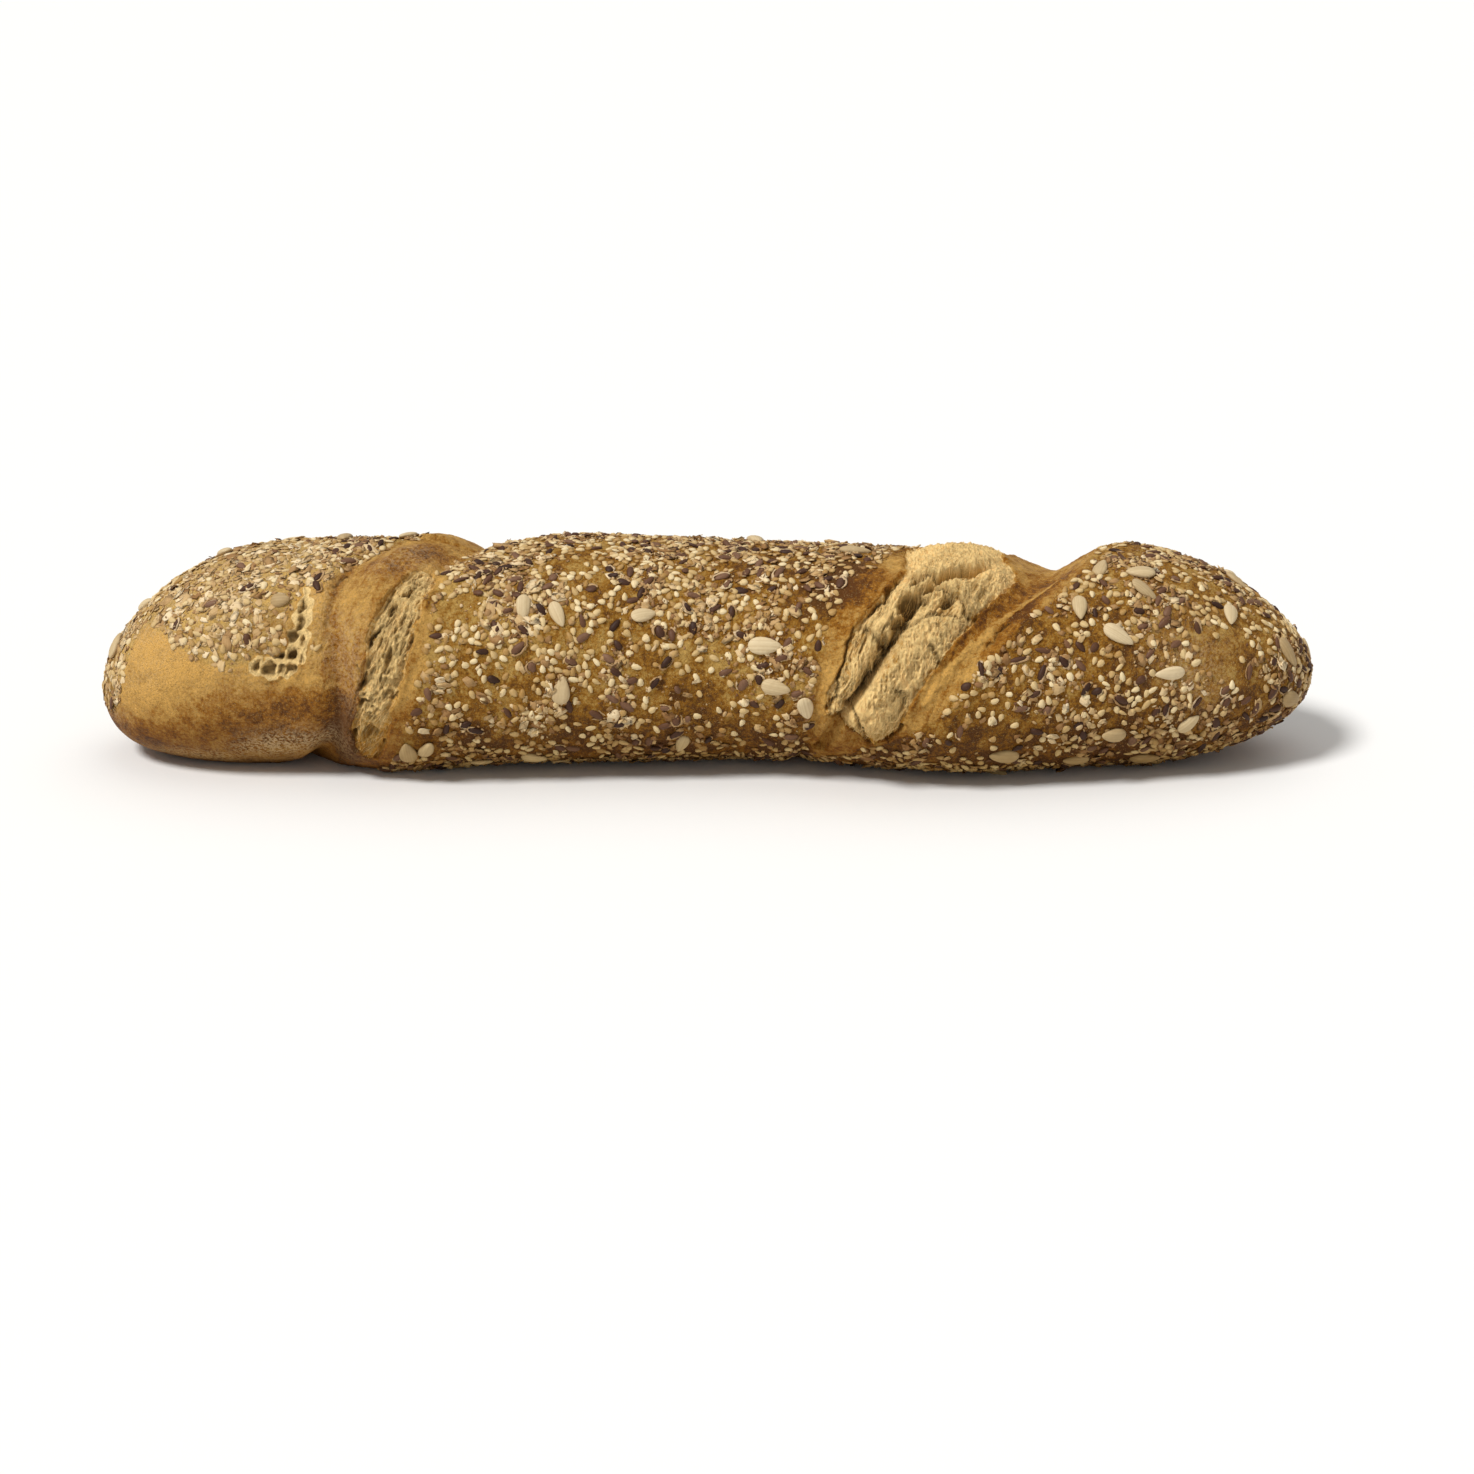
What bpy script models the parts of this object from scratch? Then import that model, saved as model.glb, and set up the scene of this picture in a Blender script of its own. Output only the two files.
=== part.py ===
"""A long twisted rye loaf, baked from one rolled strip of dough and coated with seeds.

The loaf lies along X with its shown side towards -Y, and rests on its flat underside at Z = 0.
A place on its skin is named by x, in millimetres from the middle, and by an angle in degrees
that is 0 at the front, 90 on top, 180 at the back and 270 underneath.
"""

import math

import bmesh
import bpy
import numpy as np
from mathutils import Matrix

MM = 0.001

LENGTH = 382.0
# Brings the middle of the finished loaf's box to X = 0 and Y = 0.
SETTLE = (-0.46, 0.48)
LEFT_CAP = 60.0
LEFT_CAP_POWER = 2.4
RIGHT_CAP = 66.0
RIGHT_CAP_POWER = 2.0
MEAN_RADIUS = 36.0
SECTION_POWER = 2.25
BASE_POWER = 2.1

# Along the loaf: x, half height, half width, centre y and centre z of the section.
SECTIONS = [
    (-191.0, 33.0, 36.5, 2.0, 20.0),
    (-160.0, 33.0, 37.5, 2.0, 28.6),
    (-126.0, 33.4, 38.5, 3.0, 32.2),
    (-97.0, 35.0, 40.0, -1.0, 33.4),
    (-72.0, 34.2, 39.5, 0.0, 32.6),
    (-28.0, 34.4, 39.5, 3.0, 33.2),
    (15.0, 33.8, 38.5, 4.0, 32.4),
    (45.0, 33.8, 39.0, -1.0, 32.2),
    (72.0, 33.8, 40.5, -5.0, 32.2),
    (105.0, 33.0, 39.5, -3.0, 31.4),
    (133.0, 33.0, 38.5, 1.0, 31.4),
    (160.0, 32.4, 38.0, 2.0, 30.2),
    (191.0, 31.0, 36.5, 2.0, 26.5),
]

# Lines that lean round the loaf with its twist: angle, x, height and half width.
FIRST_CREASE = [
    (-140.0, -150.0, -1.0, 7.0),
    (-90.0, -134.0, -3.0, 6.0),
    (-52.0, -120.0, -4.5, 4.8),
    (-25.0, -115.0, -4.5, 4.5),
    (0.0, -111.5, -4.0, 4.2),
    (30.0, -112.5, -3.4, 4.0),
    (60.0, -108.5, -3.0, 4.5),
    (88.0, -99.0, -2.5, 6.0),
    (110.0, -84.0, -2.0, 8.0),
]
SECOND_CREASE = [
    (46.0, -84.5, -1.0, 3.5),
    (65.0, -81.0, -2.2, 4.5),
    (90.0, -75.0, -2.8, 6.0),
    (115.0, -70.0, -3.6, 7.0),
    (150.0, -58.0, -4.8, 8.0),
    (200.0, -38.0, -4.6, 8.0),
    (245.0, -22.0, -2.5, 7.0),
    (275.0, -12.0, -0.5, 6.0),
]
THIRD_CREASE = [
    (-75.0, 28.0, -0.6, 3.0),
    (-45.0, 30.0, -2.2, 3.0),
    (-15.0, 32.5, -2.0, 2.6),
    (10.0, 36.0, -1.0, 2.6),
    (35.0, 42.0, -0.4, 3.0),
]
VALLEY = [
    (-34.0, 54.0, -0.5, 8.0),
    (-6.0, 65.0, -1.6, 8.5),
    (20.0, 78.0, -2.6, 9.0),
    (46.0, 92.0, -4.2, 10.0),
    (75.0, 103.0, -6.0, 11.0),
    (110.0, 108.0, -6.8, 11.0),
    (150.0, 119.0, -6.0, 10.5),
    (200.0, 136.0, -4.8, 9.5),
    (245.0, 150.0, -2.5, 9.0),
    (275.0, 158.0, -0.6, 8.0),
]
BAND_RIDGE = [
    (40.0, -104.0, 0.6, 7.0),
    (75.0, -97.0, 1.8, 8.0),
    (105.0, -88.0, 2.2, 9.0),
    (140.0, -76.0, 2.0, 9.0),
    (190.0, -56.0, 1.4, 9.0),
    (240.0, -38.0, 0.5, 9.0),
]
LOBE_RIDGE = [
    (-20.0, 70.0, 0.3, 3.0),
    (10.0, 81.5, 1.3, 3.4),
    (45.0, 101.0, 1.5, 3.6),
    (75.0, 115.0, 1.0, 4.5),
    (100.0, 122.0, 0.4, 5.0),
]
CRACK = [
    (-36.0, 35.0, -3.0, 1.8),
    (-12.0, 41.0, -5.5, 2.2),
    (15.0, 52.0, -6.5, 2.6),
    (32.0, 59.5, -5.0, 2.4),
    (53.0, 67.5, -4.2, 2.4),
    (62.0, 76.0, -4.0, 2.4),
    (78.0, 86.5, -3.2, 2.4),
    (100.0, 92.0, -1.5, 2.4),
]
STRIP_RIDGE = [
    (-30.0, 37.5, 0.3, 1.6),
    (-10.0, 40.0, 0.9, 1.8),
    (20.0, 48.0, 1.3, 2.2),
    (46.0, 59.0, 1.4, 2.6),
    (75.0, 69.0, 1.2, 3.0),
    (100.0, 74.0, 0.4, 3.5),
]
FOLDS = [
    FIRST_CREASE,
    SECOND_CREASE,
    THIRD_CREASE,
    VALLEY,
    BAND_RIDGE,
    LOBE_RIDGE,
    CRACK,
    STRIP_RIDGE,
]

# Burst bubbles in the torn crumb: x, angle, depth and reach.
BUBBLES = [
    (-134.5, 17.0, -1.6, 3.0),
    (-130.0, 13.0, -1.8, 3.2),
    (-125.0, 15.5, -1.8, 2.8),
    (-123.5, 26.0, -1.6, 3.4),
    (-122.0, 40.0, -1.2, 3.4),
    (-104.0, 2.0, -1.6, 2.8),
    (-101.0, -22.0, -1.8, 3.4),
    (-99.0, 20.0, -1.8, 3.2),
    (-94.0, 34.0, -1.6, 3.0),
    (62.0, 42.0, -3.6, 3.4),
    (72.5, 42.0, -4.0, 3.2),
    (80.0, 68.0, -2.6, 3.6),
    (46.0, -22.0, -2.2, 3.4),
]

# Where the crust tore open in the oven: angle, left edge and right edge.
SMALL_TEAR = [
    (-52.0, -104.0, -101.0),
    (-40.0, -109.0, -96.0),
    (-18.0, -108.0, -91.5),
    (5.0, -104.0, -87.7),
    (25.0, -98.0, -84.2),
    (46.0, -89.6, -82.0),
    (58.0, -86.0, -83.0),
]
WIDE_TEAR = [
    (-52.0, 36.0, 39.0),
    (-34.0, 33.4, 51.7),
    (-6.0, 37.9, 64.7),
    (20.0, 44.0, 73.8),
    (46.0, 53.6, 89.0),
    (72.0, 59.6, 95.9),
    (105.0, 62.0, 93.0),
    (135.0, 78.0, 98.0),
    (155.0, 90.0, 98.0),
]
BACK_TEAR = [
    (128.0, -62.0, -59.0),
    (150.0, -60.0, -49.0),
    (190.0, -46.0, -30.0),
    (225.0, -30.0, -18.0),
    (245.0, -22.0, -19.0),
]
TEARS = [(SMALL_TEAR, -0.6), (WIDE_TEAR, 1.9), (BACK_TEAR, -0.4)]
TEAR_STEP = 1.8

# The uneven swelling of the dough: size of the swells and how far they stand out.
SWELLS = [(46.0, 1.5, 3), (21.0, 0.7, 8)]

# The skin is modelled with this many meridians and rings, then thinned to this many triangles.
BODY_AROUND = 144
BODY_ALONG = 300
BODY_TRIANGLES = 5500
FLAT_WITHIN = 0.15
SHARP_ANGLE = 50.0

# Skin with no seeds on it: angle, left edge and right edge.
LEFT_BAND = [
    (-115.0, -140.0, -128.0),
    (-52.0, -118.0, -100.0),
    (-18.0, -113.0, -91.0),
    (25.0, -112.0, -84.0),
    (58.0, -108.0, -82.0),
    (88.0, -100.0, -75.0),
    (115.0, -90.0, -69.0),
    (150.0, -78.0, -52.0),
    (200.0, -58.0, -28.0),
    (245.0, -42.0, -16.0),
    (275.0, -30.0, -12.0),
]
RIGHT_BAND = [
    (-75.0, 27.0, 36.0),
    (-50.0, 29.0, 46.0),
    (-30.0, 29.2, 58.0),
    (-8.0, 31.5, 70.0),
    (13.0, 35.6, 81.5),
    (40.0, 40.0, 100.0),
    (60.0, 45.0, 113.0),
    (85.0, 57.0, 120.0),
    (110.0, 64.0, 124.0),
    (150.0, 86.0, 134.0),
    (200.0, 112.0, 148.0),
    (245.0, 138.0, 160.0),
]
# The smooth lower side of the left lobe: x and the angle below which it has no seeds.
SMOOTH_SIDE = [
    (-192.0, 70.0),
    (-181.0, 40.0),
    (-176.0, 56.0),
    (-169.0, 43.0),
    (-159.0, 25.0),
    (-142.0, 14.0),
    (-116.0, 16.0),
]
UNDERSIDE = (-128.0, -62.0)

# Seeds: length, width, thickness, taper, sides and rings.
SUNFLOWER = (9.8, 5.4, 3.0, 0.45, 6, 4)
LINSEED = (5.0, 2.8, 1.8, 0.3, 5, 3)
SEED_LIFT = 0.18

# Sunflower kernels on the shown side: x, angle, and the turn of the long way, tip last.
KERNELS = [
    (-185.0, 65.0, 70.0),
    (-130.0, 43.0, -4.0),
    (-92.0, -35.0, 95.0),
    (-86.0, -32.0, 70.0),
    (-70.0, -49.0, 3.0),
    (-55.5, 38.0, -95.0),
    (-53.5, -44.0, -8.0),
    (-45.0, 34.0, -70.0),
    (-44.0, 0.0, 80.0),
    (-19.0, 33.0, 12.0),
    (-7.5, -31.0, -105.0),
    (18.0, 20.0, 2.0),
    (21.5, 2.0, -8.0),
    (30.5, -7.0, -75.0),
    (46.5, 95.0, 5.0),
    (91.5, -32.0, 172.0),
    (114.0, 43.0, -95.0),
    (114.5, -41.0, 178.0),
    (122.0, 71.0, 60.0),
    (125.0, -21.0, 170.0),
    (125.5, 28.0, -35.0),
    (134.0, 65.0, 176.0),
    (134.5, 52.0, -35.0),
    (136.5, -44.0, 3.0),
    (141.5, 10.0, 185.0),
    (148.5, -18.0, 45.0),
    (161.5, 45.0, -98.0),
    (180.5, 30.0, -50.0),
    (182.0, -14.0, -20.0),
]
KERNEL_COUNT = 48
KERNEL_SPACING = 17.0
LINSEED_COUNT = 62
LINSEED_SPACING = 12.0
SCATTER_SEED = 11


def curve(points, at):
    """A smooth curve through (place, value) points, level past both of its ends."""
    places, values = np.array(points, float).T
    slopes = np.gradient(values, places)
    at = np.clip(at, places[0], places[-1])
    i = np.clip(np.searchsorted(places, at) - 1, 0, len(places) - 2)
    span = places[i + 1] - places[i]
    t = (at - places[i]) / span
    rise = values[i] * (1 + 2 * t) * (1 - t) ** 2 + values[i + 1] * t * t * (3 - 2 * t)
    lean = slopes[i] * t * (1 - t) ** 2 + slopes[i + 1] * t * t * (t - 1)
    return rise + lean * span


def column(table, index):
    """The points of one column of a table whose first column is the place."""
    return [(row[0], row[index]) for row in table]


def smooth_step(low, high, value):
    t = np.clip((value - low) / (high - low), 0, 1)
    return t * t * (3 - 2 * t)


def lattice_value(cells, seed):
    """A number from -1 to 1 for each corner of the lattice, the same each time."""
    mixed = cells[..., 0] * 374761393 + cells[..., 1] * 668265263 + cells[..., 2] * 2147483647
    mixed = (mixed + seed * 1274126177) & 0xFFFFFFFF
    mixed = ((mixed ^ (mixed >> 13)) * 1274126177) & 0xFFFFFFFF
    return ((mixed ^ (mixed >> 16)) & 0xFFFF) / 32767.5 - 1.0


def swell(places, size, seed):
    """Smooth noise of the given grain size at each place."""
    scaled = places / size
    cells = np.floor(scaled).astype(np.int64)
    share = scaled - cells
    share = share * share * (3 - 2 * share)
    total = np.zeros(len(places))
    for corner in np.ndindex(2, 2, 2):
        offset = np.array(corner)
        weight = np.prod(np.where(offset == 1, share, 1 - share), axis=1)
        total += weight * lattice_value(cells + offset, seed)
    return total


def turns_of(angle):
    """The same angle on the turn before and after, as a line may run past a whole turn."""
    return (angle - 360.0, angle, angle + 360.0)


def fold_height(table, x, angle):
    """The height that one leaning line adds to the skin."""
    total = np.zeros_like(x)
    for turn in turns_of(angle):
        there = (turn >= table[0][0]) & (turn <= table[-1][0])
        away = (x - curve(column(table, 1), turn)) / curve(column(table, 3), turn)
        total += np.where(there, curve(column(table, 2), turn) * np.exp(-(away**2)), 0)
    return total


def bubble_depth(bubble, x, angle):
    """The hollow that one burst bubble leaves."""
    place, height_angle, depth, reach = bubble
    round_way = np.radians((angle - height_angle + 180.0) % 360.0 - 180.0) * MEAN_RADIUS
    return depth * np.exp(-((x - place) ** 2 + round_way**2) / reach**2)


def tear_depth(table, x, angle, bulge):
    """The step down from the crust to the torn crumb, and the crumb's own bulge."""
    total = np.zeros_like(x)
    for turn in turns_of(angle):
        there = (turn >= table[0][0]) & (turn <= table[-1][0])
        left = curve(column(table, 1), turn)
        right = curve(column(table, 2), turn)
        half = np.maximum((right - left) / 2, 0.5)
        across = (x - (left + right) / 2) / half
        step = 1 - smooth_step(half - 1.2, half + 0.2, np.abs(across) * half)
        middle = np.clip(1 - across**2, 0, 1)
        total += np.where(there, (bulge + TEAR_STEP) * middle - TEAR_STEP * step, 0)
    return total


def cap_share(x):
    """How much of the full section is left at x, from 0 at a tip to 1 past its cap."""
    from_left = np.clip((x + LENGTH / 2) / LEFT_CAP, 0, 1)
    from_right = np.clip((LENGTH / 2 - x) / RIGHT_CAP, 0, 1)
    left = np.sqrt(np.clip(1 - (1 - from_left) ** LEFT_CAP_POWER, 0, 1))
    return left * np.sqrt(np.clip(1 - (1 - from_right) ** RIGHT_CAP_POWER, 0, 1))


def along(share):
    """x at a share of the way from tip to tip, counted along the rounded outline."""
    left_arc = LEFT_CAP * math.pi / 2
    right_arc = RIGHT_CAP * math.pi / 2
    straight = LENGTH - LEFT_CAP - RIGHT_CAP
    run = share * (left_arc + straight + right_arc)
    left = LEFT_CAP * (1 - np.cos(np.clip(run, 0, left_arc) / LEFT_CAP))
    middle = np.clip(run - left_arc, 0, straight)
    right = RIGHT_CAP * np.sin(np.clip(run - left_arc - straight, 0, right_arc) / RIGHT_CAP)
    return left + middle + right - LENGTH / 2


def skin(x, angle):
    """The skin's points, in millimetres, at these places along and round the loaf."""
    half_height, half_width, centre_y, centre_z = (
        curve(column(SECTIONS, i), x) for i in (1, 2, 3, 4)
    )
    radians = np.radians(angle)
    forward, up = -np.cos(radians), np.sin(radians)
    power = np.where(up < 0, BASE_POWER, SECTION_POWER)
    reach = (np.abs(forward / half_width) ** power + np.abs(up / half_height) ** power) ** (-1 / power)
    relief = sum(fold_height(table, x, angle) for table in FOLDS)
    relief = relief + sum(tear_depth(table, x, angle, bulge) for table, bulge in TEARS)
    relief = relief + sum(bubble_depth(bubble, x, angle) for bubble in BUBBLES)
    places = np.stack([x, forward * MEAN_RADIUS, up * MEAN_RADIUS], axis=1)
    for size, height, seed in SWELLS:
        relief = relief + height * swell(places, size, seed)
    radius = cap_share(x) * (reach + relief)
    height = np.maximum(centre_z + up * radius, 0.0)
    return np.stack([x + SETTLE[0], centre_y + forward * radius + SETTLE[1], height], axis=1)


def build_body():
    """The loaf's skin as a ball of rings and meridians, drawn out to the loaf's form."""
    bm = bmesh.new()
    bmesh.ops.create_uvsphere(bm, u_segments=BODY_AROUND, v_segments=BODY_ALONG, radius=1.0)
    places = np.array([v.co for v in bm.verts])
    share = np.arccos(np.clip(-places[:, 2], -1, 1)) / math.pi
    angle = np.degrees(np.arctan2(places[:, 1], -places[:, 0]))
    points = skin(along(share), angle) * MM
    for vert, point in zip(bm.verts, points):
        vert.co = point
    bmesh.ops.recalc_face_normals(bm, faces=bm.faces)
    mesh = bpy.data.meshes.new("loaf")
    bm.to_mesh(mesh)
    bm.free()
    return mesh


def within(table, x, angle):
    """True where a place lies inside a band."""
    inside = np.zeros(len(x), bool)
    for turn in turns_of(angle):
        there = (turn >= table[0][0]) & (turn <= table[-1][0])
        right_of = x > curve(column(table, 1), turn)
        inside |= there & right_of & (x < curve(column(table, 2), turn))
    return inside


def seeded(x, angle):
    """True where the skin carries seeds."""
    signed = (angle + 180.0) % 360.0 - 180.0
    under = (signed > UNDERSIDE[0]) & (signed < UNDERSIDE[1])
    smooth = (x < SMOOTH_SIDE[-1][0]) & (signed < curve(SMOOTH_SIDE, x)) & (signed > UNDERSIDE[0])
    return ~(under | smooth | within(LEFT_BAND, x, angle) | within(RIGHT_BAND, x, angle))


def seat(x, angle, turn):
    """The matrix, in millimetres, that lays a seed on the skin with its long way at this turn."""
    step = 0.5
    around = step / 0.65
    near = skin(
        np.array([x, x + step, x - step, x, x]),
        np.array([angle, angle, angle, angle + around, angle - around]),
    )
    lengthwise = near[1] - near[2]
    upward = near[3] - near[4]
    normal = np.cross(lengthwise, upward)
    normal /= np.linalg.norm(normal)
    lengthwise /= np.linalg.norm(lengthwise)
    upward = np.cross(normal, lengthwise)
    radians = math.radians(turn)
    long_way = lengthwise * math.cos(radians) + upward * math.sin(radians)
    across = np.cross(normal, long_way)
    rows = np.stack([long_way, across, normal], axis=1)
    matrix = Matrix(rows.tolist()).to_4x4()
    matrix.translation = near[0]
    return matrix


def build_seed(name, size, matrix):
    """One seed as a ball with its poles at its ends, drawn narrower towards its tip."""
    length, width, thickness, taper, sides, rings = size
    bm = bmesh.new()
    bmesh.ops.create_uvsphere(bm, u_segments=sides, v_segments=rings, radius=0.5)
    for vert in bm.verts:
        side, flat, way = vert.co
        narrow = 1.0 - taper * way
        vert.co = (way * length, side * width * narrow, (flat + SEED_LIFT) * thickness)
    bmesh.ops.transform(bm, matrix=Matrix.Scale(MM, 4) @ matrix, verts=bm.verts)
    bmesh.ops.recalc_face_normals(bm, faces=bm.faces)
    mesh = bpy.data.meshes.new(name)
    bm.to_mesh(mesh)
    bm.free()
    return bpy.data.objects.new(name, mesh)


def scatter(rng, taken, count, spacing):
    """Seeded places spread evenly over the seeded skin, none nearer than the spacing."""
    places = []
    while len(places) < count:
        x = along(rng.random())
        angle = rng.uniform(-180.0, 180.0)
        if not seeded(np.array([x]), np.array([angle]))[0]:
            continue
        point = skin(np.array([x]), np.array([angle]))[0]
        if all(np.linalg.norm(point - other) > spacing for other in taken):
            taken.append(point)
            places.append((x, angle, rng.uniform(0.0, 360.0)))
    return places


def build_seeds():
    """The larger seeds: sunflower kernels first, then linseeds between them."""
    rng = np.random.default_rng(SCATTER_SEED)
    taken = [skin(np.array([x]), np.array([angle]))[0] for x, angle, _ in KERNELS]
    kernels = KERNELS + scatter(rng, taken, KERNEL_COUNT - len(KERNELS), KERNEL_SPACING)
    linseeds = scatter(rng, taken, LINSEED_COUNT, LINSEED_SPACING)
    seeds = [build_seed("kernel", SUNFLOWER, seat(*place)) for place in kernels]
    return seeds + [build_seed("linseed", LINSEED, seat(*place)) for place in linseeds]


def applied(item):
    """Gives an object the mesh that its modifiers make, and removes them."""
    shown = item.evaluated_get(bpy.context.evaluated_depsgraph_get())
    item.data = bpy.data.meshes.new_from_object(shown)
    item.modifiers.clear()


def crust_material():
    material = bpy.data.materials.new("crust")
    material.use_nodes = True
    shader = material.node_tree.nodes["Principled BSDF"]
    shader.inputs["Base Color"].default_value = (0.36, 0.19, 0.07, 1.0)
    shader.inputs["Roughness"].default_value = 0.8
    shader.inputs["Metallic"].default_value = 0.0
    return material


def main():
    for item in list(bpy.data.objects):
        bpy.data.objects.remove(item, do_unlink=True)
    scene = bpy.context.scene.collection
    loaf = bpy.data.objects.new("loaf", build_body())
    scene.objects.link(loaf)

    thin = loaf.modifiers.new("Thin", "DECIMATE")
    thin.ratio = BODY_TRIANGLES / (2 * BODY_AROUND * (BODY_ALONG - 1))
    applied(loaf)
    for vert in loaf.data.vertices:
        if vert.co.z < FLAT_WITHIN * MM:
            vert.co.z = 0.0

    seeds = bpy.data.collections.new("seeds")
    scene.children.link(seeds)
    for seed in build_seeds():
        seeds.objects.link(seed)
    join = loaf.modifiers.new("Seeds", "BOOLEAN")
    join.operation = "UNION"
    join.operand_type = "COLLECTION"
    join.collection = seeds
    join.solver = "EXACT"
    applied(loaf)
    for seed in list(seeds.objects):
        bpy.data.objects.remove(seed, do_unlink=True)
    bpy.data.collections.remove(seeds)

    loaf.data.materials.clear()
    loaf.data.materials.append(crust_material())
    loaf.data.shade_smooth()
    loaf.data.set_sharp_from_angle(angle=math.radians(SHARP_ANGLE))


main()
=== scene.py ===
"""The looks of a long twisted rye loaf: its crust, its torn crumb and its coat of seeds.

A place on the skin is named by x, in millimetres from the middle, and by an angle in degrees
that is 0 at the front, 90 on top, 180 at the back and 270 underneath.
"""

import functools
import math

import bmesh
import bpy
import numpy as np
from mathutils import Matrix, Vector


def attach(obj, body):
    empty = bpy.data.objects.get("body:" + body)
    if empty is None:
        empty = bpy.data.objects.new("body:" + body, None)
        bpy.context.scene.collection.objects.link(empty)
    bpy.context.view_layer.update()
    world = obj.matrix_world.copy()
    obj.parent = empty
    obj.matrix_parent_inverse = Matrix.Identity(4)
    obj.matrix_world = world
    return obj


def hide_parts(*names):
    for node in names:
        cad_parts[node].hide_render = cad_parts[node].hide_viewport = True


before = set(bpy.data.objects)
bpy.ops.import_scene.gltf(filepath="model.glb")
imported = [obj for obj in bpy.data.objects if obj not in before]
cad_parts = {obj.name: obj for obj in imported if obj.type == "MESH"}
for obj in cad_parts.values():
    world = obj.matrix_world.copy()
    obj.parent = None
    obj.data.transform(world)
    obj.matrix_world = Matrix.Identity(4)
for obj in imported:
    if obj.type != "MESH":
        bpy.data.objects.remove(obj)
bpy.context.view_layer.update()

bl_info = {
    "name": "Twisted rye loaf",
    "version": (1, 0, 0),
    "blender": (4, 5, 0),
    "location": "3D View > Sidebar > Loaf",
    "description": "Bakes the crust and crumb of a twisted rye loaf and coats it with seeds",
    "category": "Object",
}

MM = 0.001
NODE = "loaf"
BODY = "root"

# The form of the dough, in millimetres, as in the solid.
LENGTH = 382.0
SETTLE = (-0.46, 0.48)
LEFT_CAP = 60.0
LEFT_CAP_POWER = 2.4
RIGHT_CAP = 66.0
RIGHT_CAP_POWER = 2.0
MEAN_RADIUS = 36.0
SECTION_POWER = 2.25
BASE_POWER = 2.1
RUN = math.radians(1.0) * MEAN_RADIUS
FAR_OUTSIDE = -99.0

# Along the loaf: x, half height, half width, centre y and centre z of the section.
SECTIONS = [
    (-191.0, 33.0, 36.5, 2.0, 20.0),
    (-160.0, 33.0, 37.5, 2.0, 28.6),
    (-126.0, 33.4, 38.5, 3.0, 32.2),
    (-97.0, 35.0, 40.0, -1.0, 33.4),
    (-72.0, 34.2, 39.5, 0.0, 32.6),
    (-28.0, 34.4, 39.5, 3.0, 33.2),
    (15.0, 33.8, 38.5, 4.0, 32.4),
    (45.0, 33.8, 39.0, -1.0, 32.2),
    (72.0, 33.8, 40.5, -5.0, 32.2),
    (105.0, 33.0, 39.5, -3.0, 31.4),
    (133.0, 33.0, 38.5, 1.0, 31.4),
    (160.0, 32.4, 38.0, 2.0, 30.2),
    (191.0, 31.0, 36.5, 2.0, 26.5),
]

# Lines that lean round the loaf with its twist: angle, x, height and half width.
FIRST_CREASE = [
    (-140.0, -150.0, -1.0, 7.0),
    (-90.0, -134.0, -3.0, 6.0),
    (-52.0, -120.0, -4.5, 4.8),
    (-25.0, -115.0, -4.5, 4.5),
    (0.0, -111.5, -4.0, 4.2),
    (30.0, -112.5, -3.4, 4.0),
    (60.0, -108.5, -3.0, 4.5),
    (88.0, -99.0, -2.5, 6.0),
    (110.0, -84.0, -2.0, 8.0),
]
SECOND_CREASE = [
    (46.0, -84.5, -1.0, 3.5),
    (65.0, -81.0, -2.2, 4.5),
    (90.0, -75.0, -2.8, 6.0),
    (115.0, -70.0, -3.6, 7.0),
    (150.0, -58.0, -4.8, 8.0),
    (200.0, -38.0, -4.6, 8.0),
    (245.0, -22.0, -2.5, 7.0),
    (275.0, -12.0, -0.5, 6.0),
]
THIRD_CREASE = [
    (-75.0, 28.0, -0.6, 3.0),
    (-45.0, 30.0, -2.2, 3.0),
    (-15.0, 32.5, -2.0, 2.6),
    (10.0, 36.0, -1.0, 2.6),
    (35.0, 42.0, -0.4, 3.0),
]
VALLEY = [
    (-34.0, 54.0, -0.5, 8.0),
    (-6.0, 65.0, -1.6, 8.5),
    (20.0, 78.0, -2.6, 9.0),
    (46.0, 92.0, -4.2, 10.0),
    (75.0, 103.0, -6.0, 11.0),
    (110.0, 108.0, -6.8, 11.0),
    (150.0, 119.0, -6.0, 10.5),
    (200.0, 136.0, -4.8, 9.5),
    (245.0, 150.0, -2.5, 9.0),
    (275.0, 158.0, -0.6, 8.0),
]
BAND_RIDGE = [
    (40.0, -104.0, 0.6, 7.0),
    (75.0, -97.0, 1.8, 8.0),
    (105.0, -88.0, 2.2, 9.0),
    (140.0, -76.0, 2.0, 9.0),
    (190.0, -56.0, 1.4, 9.0),
    (240.0, -38.0, 0.5, 9.0),
]
LOBE_RIDGE = [
    (-20.0, 70.0, 0.3, 3.0),
    (10.0, 81.5, 1.3, 3.4),
    (45.0, 101.0, 1.5, 3.6),
    (75.0, 115.0, 1.0, 4.5),
    (100.0, 122.0, 0.4, 5.0),
]
CRACK = [
    (-36.0, 35.0, -3.0, 1.8),
    (-12.0, 41.0, -5.5, 2.2),
    (15.0, 52.0, -6.5, 2.6),
    (32.0, 59.5, -5.0, 2.4),
    (53.0, 67.5, -4.2, 2.4),
    (62.0, 76.0, -4.0, 2.4),
    (78.0, 86.5, -3.2, 2.4),
    (100.0, 92.0, -1.5, 2.4),
]
STRIP_RIDGE = [
    (-30.0, 37.5, 0.3, 1.6),
    (-10.0, 40.0, 0.9, 1.8),
    (20.0, 48.0, 1.3, 2.2),
    (46.0, 59.0, 1.4, 2.6),
    (75.0, 69.0, 1.2, 3.0),
    (100.0, 74.0, 0.4, 3.5),
]
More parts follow.
